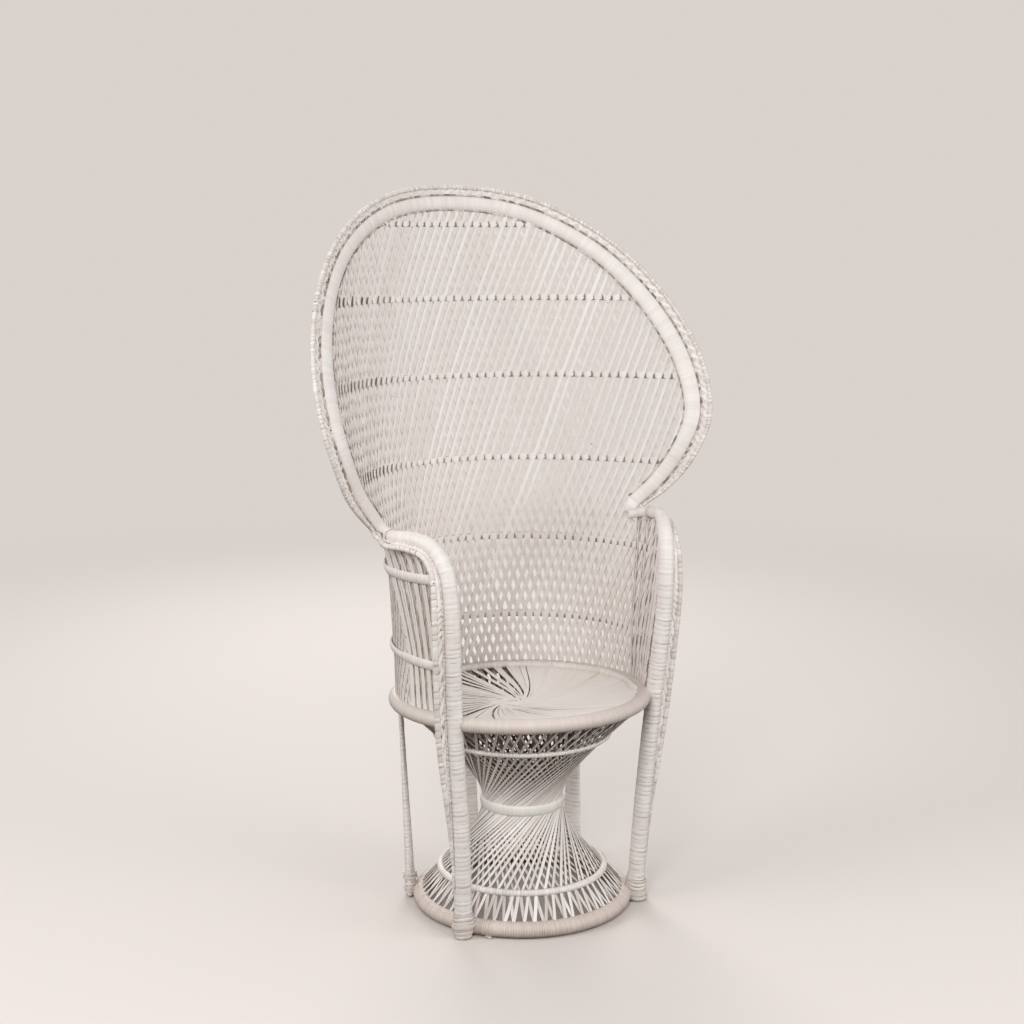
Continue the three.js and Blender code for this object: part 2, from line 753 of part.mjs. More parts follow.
for (const [side, sign] of [['left', -1], ['right', 1]]) {
  add(`side_lattice_${side}`, net({
    columns: armColumns,
    rows: armRows,
    closed: false,
    strand: backCaneWide,
    thick: backCaneThick,
    place: (a, b) => onSide(sign, armPanelPoint(a, b)),
  }), paint.weave);

  const rod = sweep(
    edgeMarks.map((share) => onSide(sign, flange(share, edgeReach(share)))),
    sideways,
    () => circle(hoopSides, edgeRodRadius),
  );
  add(`arm_edge_rod_${side}`, rod, paint.hoop);

  add(`arm_edge_web_${side}`, net({
    columns: half(armWebEnd - armWebStart),
    rows: 1,
    closed: false,
    strand: webCaneWide,
    thick: webCaneThick,
    place: (a, b) => {
      const share = lerp(armWebStart, armWebEnd, a) / armSteps;
      const outer = edgeReach(share) - edgeRodRadius - webSlack;
      return onSide(sign, flange(share, lerp(armSize(share) + webSlack, outer, b)));
    },
  }), paint.weave);
}

// Level rows that the canes are woven over, on the back's outer face

/** Span at which the lattice ends at a height above the arms. */
function spanAt(height) {
  let [low, high] = [0.5, 1];
  for (let k = 0; k < searchSteps; k += 1) {
    const middle = half(low + high);
    if (fanSpot(middle, -fanInset - rowThick).height > height) low = middle;
    else high = middle;
  }
  return fanSpot(low, -fanInset - rowThick).span;
}

const rowSection = [
  [-half(rowTall), -half(rowThick)], [half(rowTall), -half(rowThick)],
  [half(rowTall) - half(rowThick), half(rowThick)], [half(rowThick) - half(rowTall), half(rowThick)],
];

/** Half of a level row, from the middle of the back to its right-hand end. */
function rowHalf(height) {
  const below = height < armPanelTop;
  const end = below ? joinSpan : spanAt(height);
  const rowOut = half(backCaneThick) + (below ? rowSlack : fanRowSlack) + half(rowThick);
  const shares = Array.from({ length: rowSteps + 1 }, (_, k) => k / rowSteps);
  const points = shares.map((share) => {
    const here = scoop(share * end, height);
    const along = scoop(share * end + gap, height).sub(scoop(share * end - gap, height));
    return here.addScaledVector(vec(-along.y, along.x, 0).normalize(), rowOut);
  });
  if (below) {
    for (const a of rowSideShares) {
      points.push(armPanelPoint(a, (height - latticeFoot) / (sideTop(a) - latticeFoot), rowOut));
    }
  }
  return points;
}

const rowHeights = [
  ...sideRowShares.map((share) => lerp(seatTop, armHeight, share)),
  ...fanRowShares.map((share) => lerp(armHeight, fanTop, share)),
];
rowHeights.forEach((height, index) => {
  const right = rowHalf(height);
  const left = right.slice(1).map((p) => onSide(-1, p)).reverse();
  add(`back_row_${index + 1}`, sweep([...left, ...right], upward, () => rowSection), paint.hoop);
});

// Rear legs: flat wrapped legs from under the seat's rim to the outside of the base ring

const rearFootRadius = baseRingRadius + baseRingTube * cos(PI / ringSides) + gap + half(rearLegThick);
const rearTop = seatRimHeight - seatRimTube * cos(PI / ringSides) - gap;
const legCorner = half(rearLegThick) * legCornerShare;
const flatSection = (wide, thick) => [
  [-half(wide), legCorner - half(thick)], [legCorner - half(wide), -half(thick)],
  [half(wide) - legCorner, -half(thick)], [half(wide), legCorner - half(thick)],
  [half(wide), half(thick) - legCorner], [half(wide) - legCorner, half(thick)],
  [legCorner - half(wide), half(thick)], [-half(wide), half(thick) - legCorner],
];

/** A point of a rear leg at a share of its height. */
function rearPoint(turn, share) {
  return fromFront(turn, lerp(rearFootRadius, seatRimRadius, share), lerp(footLift, rearTop, share));
}
const rearSection = flatSection(rearLegWide, rearLegThick);

const rearLegs = [['left', -rearLegAngle], ['right', rearLegAngle], ['centre', PI]];
for (const [place, turn] of rearLegs) {
  const tangent = vec(cos(turn), sin(turn), 0);
  const points = rearLegShares.map((share) => rearPoint(turn, share));
  add(`rear_leg_${place}`, sweep(points, () => tangent, () => rearSection), paint.roll);
}

// Bindings: lashed collars at the five feet and at the two joints of arm and fan

/** A ribbed collar round a round or flat member. */
function collar({ centre, along, across, wide, thick, tall, wall, corners }) {
  const rings = [];
  const steps = 2 * bindingRibs;
  for (let k = 0; k <= steps; k += 1) {
    rings.push([lerp(-half(tall), half(tall), k / steps), wall + (k % 2 ? bindingRib : 0)]);
  }
  rings.push([half(tall), 0], [-half(tall), 0]);
  const out = along.clone().cross(across);
  const points = rings.flatMap(([lift, grow]) => corners.map(([p, q]) => centre.clone()
    .addScaledVector(along, lift)
    .addScaledVector(across, p * (half(wide) + gap + grow))
    .addScaledVector(out, q * (half(thick) + gap + grow))));
  const count = corners.length;
  const triangles = [];
  for (let k = 0; k < rings.length; k += 1) {
    const next = (k + 1) % rings.length;
    for (let s = 0; s < count; s += 1) {
      const turn = (s + 1) % count;
      triangles.push([k * count + s, k * count + turn, next * count + turn]);
      triangles.push([k * count + s, next * count + turn, next * count + s]);
    }
  }
  return solid(points, triangles);
}

const roundCorners = circle(collarSides, 1 / cos(PI / collarSides));
const flatCorners = [
  [-1, -1], [1, -1], [flatCollarShare, 0], [1, 1], [-1, 1], [-flatCollarShare, 0],
];
const bindingHeight = baseRingTop + gap + half(bindingTall);

for (const [side, sign] of [['left', -1], ['right', 1]]) {
  const footMark = legAt(bindingHeight);
  add(`foot_binding_front_${side}`, collar({
    centre: onSide(sign, armCurve.getPoint(footMark)),
    along: onSide(sign, armCurve.getTangent(footMark)),
    across: vec(0, 1, 0),
    wide: 2 * armSize(footMark) + bindingSlack,
    thick: 2 * armSize(footMark) + bindingSlack,
    tall: bindingTall,
    wall: bindingThick,
    corners: roundCorners,
  }), paint.binding);

  const jointMark = armMark(jointWrapPoint);
  const along = armCurve.getTangent(jointMark);
  const across = vec(1, 0, 0).addScaledVector(along, -along.x).normalize();
  add(`arm_joint_binding_${side}`, collar({
    centre: onSide(sign, armCurve.getPoint(jointMark)),
    along: onSide(sign, along),
    across: onSide(sign, across),
    wide: 2 * (armSize(jointMark) + jointWrapSlack),
    thick: 2 * (armSize(jointMark) + jointWrapSlack),
    tall: jointWrapTall,
    wall: jointWrapThick,
    corners: roundCorners,
  }), paint.binding);
}
for (const [place, turn] of rearLegs) {
  add(`foot_binding_rear_${place}`, collar({
    centre: rearPoint(turn, (bindingHeight - footLift) / (rearTop - footLift)),
    along: rearPoint(turn, 1).sub(rearPoint(turn, 0)).normalize(),
    across: vec(cos(turn), sin(turn), 0),
    wide: rearLegWide,
    thick: rearLegThick,
    tall: bindingTall,
    wall: bindingThick,
    corners: flatCorners,
  }), paint.binding);
}

// The chair stands with its origin on the floor under the middle of its whole outline.
chair.updateMatrixWorld(true);
const outline = new THREE.Box3().setFromObject(chair);
chair.position.y = -half(outline.min.y + outline.max.y);

export default chair;
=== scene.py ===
"""A white painted rattan peacock chair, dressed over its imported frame.

The seat stands on an hourglass of crossing canes. Behind it rises a tall scooped lattice inside a
fan-shaped wrapped roll, and the rolled arms run down as the front legs. Forms are worked out in
millimetres round the seat's axis, and are placed in metres in the frame's own axes.
"""

import logging
from dataclasses import dataclass, field
from enum import Enum
from functools import cached_property
from typing import Any, Callable, Sequence

import bpy
import numpy as np
from mathutils import Matrix, Vector


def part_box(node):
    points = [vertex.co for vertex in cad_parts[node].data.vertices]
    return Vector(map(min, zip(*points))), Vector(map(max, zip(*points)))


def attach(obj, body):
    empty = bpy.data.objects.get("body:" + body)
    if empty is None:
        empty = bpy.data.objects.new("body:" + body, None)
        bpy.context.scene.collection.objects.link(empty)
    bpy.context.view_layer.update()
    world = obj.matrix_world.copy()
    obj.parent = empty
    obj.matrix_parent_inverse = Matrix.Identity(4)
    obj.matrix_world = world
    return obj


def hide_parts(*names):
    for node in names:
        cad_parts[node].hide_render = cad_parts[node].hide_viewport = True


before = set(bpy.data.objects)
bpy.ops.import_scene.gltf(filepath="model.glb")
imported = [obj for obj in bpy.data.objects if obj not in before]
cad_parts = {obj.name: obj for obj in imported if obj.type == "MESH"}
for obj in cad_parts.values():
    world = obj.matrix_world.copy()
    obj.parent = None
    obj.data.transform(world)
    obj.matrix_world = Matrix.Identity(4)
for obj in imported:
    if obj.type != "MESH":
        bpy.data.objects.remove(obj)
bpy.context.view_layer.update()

LOG = logging.getLogger("peacock_chair")
METRES = 0.001
FULL_TURN = 2 * np.pi
Array = np.ndarray
Colour = tuple[float, float, float]
UP, ASIDE, FRONT = np.array([0.0, 0, 1]), np.array([1.0, 0, 0]), np.array([0.0, -1, 0])
SIDES = (("left", -1.0), ("right", 1.0))
# How far out the flats of an eight-sided section of radius 1 lie.
FLAT = np.cos(np.pi / 8)
# Scale that makes a hexagon of radius 1 as wide as 1.
HEXAGON_SHARE = 0.577
# Rings per strip of wrapping, how fast its seams close, how far a strip spreads, and a guard against rounding.
STEPS_PER_STRIP = 4
SEAM_SHARPNESS = 8
STRIP_SPREAD = -0.13
ROUNDING = 0.01
BARE_CANE = (98, 70, 48)


def paint_colour(red: int, green: int, blue: int) -> Colour:
    """Turns a colour as it is seen, from 0 to 255, into the linear values that shaders use."""
    seen = np.array([red, green, blue]) / 255
    linear = np.where(seen <= 0.04045, seen / 12.92, ((seen + 0.055) / 1.055) ** 2.4)
    return tuple(float(part) for part in linear)


def lerp(start: Any, end: Any, share: Any) -> Any:
    """Goes from start to end by a share."""
    return start + (end - start) * share


def ease(share: Any) -> Any:
    """Smooth step from 0 to 1."""
    held = np.clip(share, 0.0, 1.0)
    return held * held * (3 - 2 * held)


def unit(vectors: Array) -> Array:
    """Scales each vector to length 1."""
    return vectors / np.linalg.norm(vectors, axis=-1, keepdims=True)


def stack(*parts: Any) -> Array:
    """Joins coordinates, arrays or numbers, into an array of points."""
    return np.stack(np.broadcast_arrays(*[np.asarray(part, float) for part in parts]), axis=-1)


def square_to(vectors: Array, along: Array) -> Array:
    """Makes vectors square to a direction, with length 1."""
    return unit(vectors - along * np.sum(vectors * along, axis=-1, keepdims=True))


def tangents(points: Array, closed: bool = False) -> Array:
    """Directions along a polyline, of length 1."""
    if closed:
        return unit(np.roll(points, -1, axis=0) - np.roll(points, 1, axis=0))
    return unit(np.gradient(points, axis=0))


def from_front(turn: Any, radius: Any, height: Any) -> Array:
    """Points at a turn from the chair's front, at a radius and a height."""
    return stack(radius * np.sin(turn), -radius * np.cos(turn), height)


@dataclass(frozen=True)
class Spline:
    """A Catmull-Rom curve through points, even or centripetal.

    Attributes:
        points: the points that it passes.
        centripetal: whether its pace follows the root of each gap's length.
    """

    points: Array
    centripetal: bool

    def at(self, share: Any) -> Array:
        """Points at shares of the way, by segments."""
        share = np.atleast_1d(np.asarray(share, float))
        pts = self.points
        count = len(pts)
        place = (count - 1) * share
        index = np.clip(np.floor(place).astype(int), 0, count - 2)
        rest = (place - index)[:, None]
        ends = np.vstack([2 * pts[0] - pts[1], pts, 2 * pts[-1] - pts[-2]])
        p0, p1, p2, p3 = (ends[index + k] for k in range(4))
        if self.centripetal:
            d0, d1, d2 = (
                np.linalg.norm(b - a, axis=1, keepdims=True) ** 0.5 for a, b in ((p0, p1), (p1, p2), (p2, p3))
            )
            t1 = ((p1 - p0) / d0 - (p2 - p0) / (d0 + d1) + (p2 - p1) / d1) * d1
            t2 = ((p2 - p1) / d1 - (p3 - p1) / (d1 + d2) + (p3 - p2) / d2) * d1
        else:
            t1, t2 = (p2 - p0) / 2, (p3 - p1) / 2
        second = -3 * p1 + 3 * p2 - 2 * t1 - t2
        third = 2 * p1 - 2 * p2 + t1 + t2
        return p1 + rest * (t1 + rest * (second + rest * third))

    def along(self, share: Any) -> Array:
        """Directions at shares of the way, of length 1."""
        share = np.atleast_1d(np.asarray(share, float))
        step = 1e-4
        return unit(self.at(np.minimum(share + step, 1)) - self.at(np.maximum(share - step, 0)))


@dataclass
class ChairForm:
    """Sizes that the sub-assemblies share, in millimetres, and the surfaces drawn from them."""

    gap: float = 0.3
    base_radius: float = 212.0
    base_tube: float = 17.5
    base_height: float = 16.17
    lower_hoop_radius: float = 171.0
    lower_hoop_tube: float = 6.5
    lower_hoop_height: float = 76.5
    waist_radius: float = 82.0
    waist_height: float = 219.5
    rim_radius: float = 245.0
    rim_tube: float = 13.4
    rim_height: float = 445.5
    back_stand_off: float = 3.0
    foot_flare: float = 11.0
    foot_flare_above: float = 120.0
    foot_flare_over: float = 220.0
    back_lean: float = 62.0
    scoop_low: float = 240.0
    scoop_high: float = 445.0
    scoop_ease: float = 1.6
    flare_start: float = 520.0
    flare_end: float = 900.0
    join_turn: float = np.radians(92.41)
    arm_height: float = 802.0
    fan_half_span: float = 517.5
    fan_rise: float = 646.0
    fan_roll_radius: float = 15.0
    fan_roll_crown: float = 3.6
    fan_curl: float = 12.0
    fan_curl_over: float = 0.3
    flange_lean: float = 0.58
    arm_flange_droop: float = -0.7
    fan_offset: float = 32.5
    fan_offset_sides: float = 7.0
    edge_offset: float = 36.0
    arm_offset: float = 27.0
    arm_rod_radius: float = 6.0
    edge_rod_radius: float = 4.8
    arm_half_span: float = 305.0
    arm_depth: float = 161.0
    arm_roll_radius: float = 12.5
    leg_radius: float = 16.0
    shin_radius: float = 13.5
    leg_girth: float = 17.0
    shin_girth: float = 17.6
    leg_angle: float = np.radians(57.5)
    foot_lift: float = 4.0
    edge_rod_foot: float = 105.0
    panel_drop: float = 44.0
    attach_turn: float = np.radians(40)
    bulge_low: float = 3.0
    bulge_high: float = 19.0
    fan_marks: tuple = (
        (0, 0.994), (0.303, 0.963), (0.58, 0.853), (0.796, 0.691), (0.943, 0.509),
        (1, 0.34), (0.959, 0.216), (0.86, 0.096), (0.762, 0.02),
    )
    arm_marks: tuple = (
        (0.9, 0.16, 0.985), (0.975, 0.02, 0.995), (0.984, -0.26, 0.999), (0.93, -0.52, 1),
        (0.868, -0.755, 0.985), (0.827, -0.925, 0.94), (0.808, -0.98, 0.873), (0.796, -0.978, 0.78),
    )

    @cached_property
    def seat_top(self) -> float:
        """Height of the rim's top."""
        return self.rim_height + self.rim_tube * FLAT

    @cached_property
    def back_radius(self) -> float:
        """Radius of the back's foot."""
        return self.rim_radius + self.back_stand_off

    @cached_property
    def join_span(self) -> float:
        """Span at which the back passes into the side panels."""
        return self.back_radius * self.join_turn

    @cached_property
    def fan_top(self) -> float:
        """Height of the fan's highest point on the roll's middle line."""
        return self.arm_height + self.fan_rise

    @cached_property
    def fan_outline(self) -> Spline:
        """The fan's outline in span and height, from the left foot over the top to the right."""
        right = np.array([(s * self.fan_half_span, self.arm_height + r * self.fan_rise) for s, r in self.fan_marks])
        left = right[:0:-1] * [-1, 1]
        return Spline(np.vstack([left, right]), centripetal=False)

    @cached_property
    def arm_curve(self) -> Spline:
        """The right arm's middle line, from the fan's foot to the floor."""
        seat = self.rim_radius + self.rim_tube * FLAT + self.gap + self.leg_radius
        foot = self.base_radius + self.base_tube * FLAT + self.gap + self.shin_radius
        arm = np.array(self.arm_marks) * [self.arm_half_span, self.arm_depth, self.arm_height]
        places = (
            (seat - 1.5, self.rim_height, 1.5, 3.5), ((seat + foot) / 2 - 5, self.rim_height / 2, 0, 3),
            (foot, 2 * self.base_height, 0, 6), (foot, self.foot_lift, 0, 6),
        )
        leg = [from_front(self.leg_angle, radius, height) + [x, y, 0] for radius, height, x, y in places]
        return Spline(np.vstack([arm, leg]), centripetal=True)

    def arm_mark(self, index: float) -> float:
        """Share of the arm's curve at one of its points."""
        return index / (len(self.arm_curve.points) - 1)

    def scoop(self, span: Any, height: Any) -> Array:
        """Points of the back's surface.

        Args:
            span: distance along the surface from its middle line.
            height: height above the floor.

        Returns:
            The points, in millimetres.
        """
        span, height = np.broadcast_arrays(np.asarray(span, float), np.asarray(height, float))
        rise = (height - self.seat_top) / (self.fan_top - self.seat_top)
        opened = np.clip((height - self.arm_height) / self.fan_rise, 0, 1)
        sag = lerp(self.scoop_low, self.scoop_high, 1 - (1 - opened) ** self.scoop_ease)
        flare = ease((height - self.flare_start) / (self.flare_end - self.flare_start))
        turn = span / self.back_radius
        x = lerp(self.back_radius * np.sin(turn), sag * np.arcsinh(span / sag), flare)
        depth = lerp(self.back_radius * (1 - np.cos(turn)), np.hypot(sag, span) - sag, flare)
        depth = depth + self.fan_curl * (span / self.fan_half_span) ** 2 * ease(opened / self.fan_curl_over)
        wider = self.foot_flare * (1 - ease((height - self.seat_top - self.foot_flare_above) / self.foot_flare_over))
        out = stack(np.sin(turn), np.cos(turn), 0 * turn) * wider[..., None]
        return stack(x, self.back_radius + self.back_lean * rise - depth, height) + out

    def fan_spot(self, share: Any, outwards: Any) -> Array:
        """Span and height of the fan's outline, moved outwards square to it."""
        place = self.fan_outline.at(share)
        along = self.fan_outline.along(share)
        return place + stack(-along[:, 1], along[:, 0]) * np.asarray(outwards, float)[..., None]

    def fan_point(self, share: Any) -> Array:
        """Points of the fan roll's middle line."""
        spot = self.fan_outline.at(share)
        return self.scoop(spot[:, 0], spot[:, 1])

    def fan_roll_size(self, share: Any) -> Any:
        """Half the width of the fan's roll, widest at its two sides."""
        return self.fan_roll_radius + self.fan_roll_crown * np.sin(FULL_TURN * np.asarray(share)) ** 2

    def fan_reach(self, share: Any) -> Any:
        """How far the fan's edge rod stands out from the roll's middle line."""
        opened = ease(np.minimum(share, 1 - share) / 0.11)
        offset = self.fan_offset + self.fan_offset_sides * np.sin(FULL_TURN * share) ** 2
        return lerp(self.fan_roll_size(share) + self.edge_rod_radius + self.gap, offset, opened)

    def fan_flange(self, share: Array) -> tuple[Array, Array]:
        """Directions in which the fan's flange stands out and in which its front looks."""
        along = unit(self.fan_point(np.minimum(share + 0.01, 1)) - self.fan_point(np.maximum(share - 0.01, 0)))
        flat = np.hypot(along[:, 0], along[:, 2])
        aside = -along[:, 2] / flat
        out = square_to(stack(aside, -self.flange_lean * np.abs(aside), along[:, 0] / flat), along)
        front = np.cross(along, out)
        return out, front * -np.sign(front[:, 1:2])

    def fan_edge(self, share: Array, outwards: Any, forwards: float = 0.0) -> Array:
        """Points beside the fan's roll, moved outwards and forwards by its flange."""
        out, front = self.fan_flange(share)
        return self.fan_point(share) + out * np.broadcast_to(outwards, share.shape)[:, None] + front * forwards

    def arm_size(self, share: Any) -> Array:
        """Radius of the arm and leg: thin at its rear end, thickest where it passes the seat."""
        share = np.asarray(share, float)
        seat = self.arm_mark(len(self.arm_marks))
        rear = self.arm_roll_radius * lerp(0.72, 1, ease(share / self.arm_mark(2)))
        above = lerp(rear, self.leg_girth, ease(share / seat))
        closing = ease((share - seat) / (self.arm_mark(len(self.arm_marks) + 1) - seat))
        return np.where(share < seat, above, lerp(self.leg_girth, self.shin_girth, closing))

    def leg_at(self, height: Any) -> Array:
        """Share of the arm's curve at which it passes a height on its way down."""
        height = np.atleast_1d(np.asarray(height, float))
        low, high = np.full(height.shape, self.arm_mark(4)), np.ones(height.shape)
        for _ in range(30):
            middle = (low + high) / 2
            above = self.arm_curve.at(middle)[:, 2] > height
            low, high = np.where(above, middle, low), np.where(above, high, middle)
        return low

    def flange_side(self, share: Array) -> Array:
        """Direction in which the arm's flange stands out: outboard, drooping where the arm is level."""
        along = self.arm_curve.along(share)
        level = np.hypot(along[:, 0], along[:, 1])
        return square_to(stack(1, 0, self.arm_flange_droop * level), along)

    def flange(self, share: Array, outwards: Any) -> Array:
        """Points beside the arm, moved outwards along its flange."""
        out = np.broadcast_to(outwards, share.shape)[:, None]
        return self.arm_curve.at(share) + self.flange_side(share) * out

    def edge_reach(self, share: Array) -> Array:
        """How far the arm's edge rod stands out from the roll's middle line."""
        seat = self.arm_mark(len(self.arm_marks))
        opening = ease((share - self.arm_mark(1)) / (self.arm_mark(2) - self.arm_mark(1)))
        closing = ease((share - seat) / (self.leg_at(self.edge_rod_foot)[0] - seat))
        level, upright = self.arm_mark(4), self.arm_mark(7)
        open_reach = lerp(self.arm_offset, self.edge_offset, ease((share - level) / (upright - level)))
        shut = self.arm_size(share) + self.arm_rod_radius + self.gap
        return lerp(open_reach, shut, np.maximum(1 - opening, closing))

    @cached_property
    def panel_top(self) -> float:
        """Height of the side panel's top at the back."""
        return self.arm_height - self.arm_roll_radius - 8

    def panel_point(self, a: Array, height: Array, outwards: float = 0.0) -> Array:
        """Points of the right side panel.

        Args:
            a: share of the way from the back to the leg.
            height: height above the floor.
            outwards: distance that the points stand out from the panel.

        Returns:
            The points.
        """
        foot = self.seat_top + self.gap
        rise = (height - foot) / (self.panel_top - foot)
        mark = self.leg_at(height)
        leg = self.arm_curve.at(mark)
        stand = self.arm_size(mark) + self.gap + 2
        turn = self.attach_turn * (1 - rise)
        front = stack(leg[:, 0] - stand * np.sin(turn), leg[:, 1] + stand * np.cos(turn), height)
        rear = self.scoop(self.join_span + self.gap, height)
        chord = front - rear
        out = unit(stack(-chord[:, 1], chord[:, 0], 0))
        bulge = 4 * a * (1 - a) * lerp(self.bulge_low, self.bulge_high, rise)
        return lerp(rear, front, a[:, None]) + out * (bulge + outwards)[:, None]

    def panel_height(self, a: Any, b: Any) -> Any:
        """Height in the side panel at a share of the way up, which is less near the leg."""
        return lerp(self.seat_top + self.gap, self.panel_top - self.panel_drop * np.asarray(a) ** 5, b)


BACKDROP = paint_colour(218, 210, 205)
FORM = ChairForm()
AXIS_Y = float(sum(corner.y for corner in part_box("seat_rim")) / 2)


def math_node(kind: str, swapped: bool = False) -> Callable:
    """Makes a method of Term that adds a Math node.

    Args:
        kind: the node's operation.
        swapped: whether the value comes before the term, as in 1 - term.

    Returns:
        The method.
    """
    def apply(term: "Term", value: Any = 0.0) -> "Term":
        """Adds the node on a term and a value."""
        values = (value, term) if swapped else (term, value)
        return term.graph.add("ShaderNodeMath", dict(enumerate(values)), operation=kind)
    return apply


class Term:
    """A node's output that takes part in Python expressions."""

    def __init__(self, graph: "Graph", socket: bpy.types.NodeSocket) -> None:
        """Keeps the tree and the socket."""
        self.graph = graph
        self.socket = socket

    __add__ = __radd__ = math_node("ADD")
    __sub__, __rsub__ = math_node("SUBTRACT"), math_node("SUBTRACT", swapped=True)
    __mul__ = __rmul__ = math_node("MULTIPLY")
    __truediv__, __rtruediv__ = math_node("DIVIDE"), math_node("DIVIDE", swapped=True)
    floor, sine, size = math_node("FLOOR"), math_node("SINE"), math_node("ABSOLUTE")

    def clamp(self) -> "Term":
        """Holds the value between 0 and 1."""
        return self.graph.add("ShaderNodeClamp", {0: self})

    def step(self, low: float, high: float) -> "Term":
        """Rises smoothly from 0 to 1 between two values."""
        return self.graph.add("ShaderNodeMapRange", {0: self, 1: low, 2: high}, interpolation_type="SMOOTHSTEP")

    def vector(self, kind: str, key: Any, value: Any) -> "Term":
        """Adds a Vector Math node, with a value at the input of a place or name."""
        return self.graph.add("ShaderNodeVectorMath", {0: self, key: value}, operation=kind)


class Graph:
    """A node tree that is built by expressions."""

    def __init__(self, tree: bpy.types.NodeTree) -> None:
        """Keeps the tree."""
        self.tree = tree

    def put(self, socket: bpy.types.NodeSocket, value: Any) -> None:
        """Links a term to an input, or sets the input's own value."""
        if isinstance(value, Term):
            self.tree.links.new(value.socket, socket)
        else:
            socket.default_value = value

    def add(self, kind: str, sockets: Any = (), out: Any = 0, **settings: Any) -> Term:
        """Adds a node.

        Args:
            kind: the node's type.
            sockets: values or terms by the input's place or name.
            out: place or name of the output that is returned.
            settings: the node's own settings, which are set first.

        Returns:
            The output.
        """
        node = self.tree.nodes.new(kind)
        for name, value in settings.items():
            setattr(node, name, value)
        for key, value in dict(sockets).items():
            self.put(node.inputs[key], value)
        return Term(self, node.outputs[out]) if len(node.outputs) else None

    def mix(self, share: Any, first: Any, second: Any) -> Term:
        """Mixes two colours."""
        pair = ((6, first), (7, second))
        colours = {key: value if isinstance(value, Term) else (*value, 1.0) for key, value in pair}
        return self.add("ShaderNodeMix", {0: share, **colours}, 2, data_type="RGBA")

    def named(self, name: str, kind: str = "FLOAT") -> Term:
        """Reads a named attribute in a Geometry Nodes tree."""
        return self.add("GeometryNodeInputNamedAttribute", {"Name": name}, data_type=kind)

    def kept(self, geometry: Term, name: str, value: Term, kind: str = "FLOAT") -> Term:
        """Stores a value on a geometry's points."""
        sockets = {0: geometry, "Name": name, "Value": value}
        return self.add("GeometryNodeStoreNamedAttribute", sockets, data_type=kind, domain="POINT")

    def circle(self, sides: Any) -> Term:
        """Draws a circle of radius 1."""
        return self.add("GeometryNodeCurvePrimitiveCircle", {"Resolution": sides, "Radius": 1.0}, mode="RADIUS")

    def swept(self, circle: Term, out: Any, across: Any, line: Term) -> Term:
        """Sweeps a cross-section along lines, by the girth and the face that their points keep.

        Args:
            circle: a circle of radius 1.
            out: the section's half thickness, in radii.
            across: its half width.
            line: the lines.

        Returns:
            The body, whose points keep the way they face in the section.
        """
        place = self.add("GeometryNodeInputPosition")
        circle = self.kept(circle, "face", self.add("ShaderNodeSeparateXYZ", {0: place}))
        size = self.add("ShaderNodeCombineXYZ", {0: out, 1: across, 2: 1.0})
        outline = self.add("GeometryNodeSetPosition", {0: circle, "Position": place.vector("MULTIPLY", 1, size)})
        normal = {0: line, "Normal": self.named("face_out", "FLOAT_VECTOR")}
        turned = self.add("GeometryNodeSetCurveNormal", normal, mode="FREE")
        sockets = {0: turned, 1: outline, "Scale": self.named("girth"), "Fill Caps": True}
        return self.add("GeometryNodeCurveToMesh", sockets)


def geometry_graph(name: str, numbers: Sequence[str], wholes: Sequence[str] = ()) -> tuple[Graph, dict, Callable]:
    """Starts a Geometry Nodes tree that takes guides and a finish.

    Args:
        name: the tree's name.
        numbers: names of its number inputs.
        wholes: names of its whole number inputs.

    Returns:
        The graph, its inputs by name, and a function that ends the tree with a geometry.
    """
    tree = bpy.data.node_groups.new(name, "GeometryNodeTree")
    tree.is_modifier = True
    kinds = {
        "Guides": "Geometry", **dict.fromkeys(numbers, "Float"), **dict.fromkeys(wholes, "Int"), "Finish": "Material",
    }
    for label, kind in kinds.items():
        tree.interface.new_socket(label, in_out="INPUT", socket_type=f"NodeSocket{kind}")
    tree.interface.new_socket("Piece", in_out="OUTPUT", socket_type="NodeSocketGeometry")
    graph = Graph(tree)
    source = tree.nodes.new("NodeGroupInput")
    terms = {socket.name: Term(graph, socket) for socket in source.outputs if socket.name}

    def finish(geometry: Term) -> bpy.types.NodeTree:
        """Ends the tree with real meshes in the finish that was asked for."""
        real = graph.add("GeometryNodeRealizeInstances", {0: geometry})
        dressed = graph.add("GeometryNodeSetMaterial", {0: real, "Material": terms["Finish"]})
        graph.add("NodeGroupOutput", {0: dressed})
        return tree

    return graph, terms, finish


def cane_tree() -> bpy.types.NodeTree:
    """Builds the tree that lays a crowned flat cane along each guide."""
    graph, given, finish = geometry_graph("Canes along guides", ("Width", "Thickness"))
    lines = graph.add("GeometryNodeMeshToCurve", {0: given["Guides"]})
    half_out, half_across = given["Thickness"] * 0.5, given["Width"] * HEXAGON_SHARE
    return finish(graph.swept(graph.circle(6), half_out, half_across, lines))


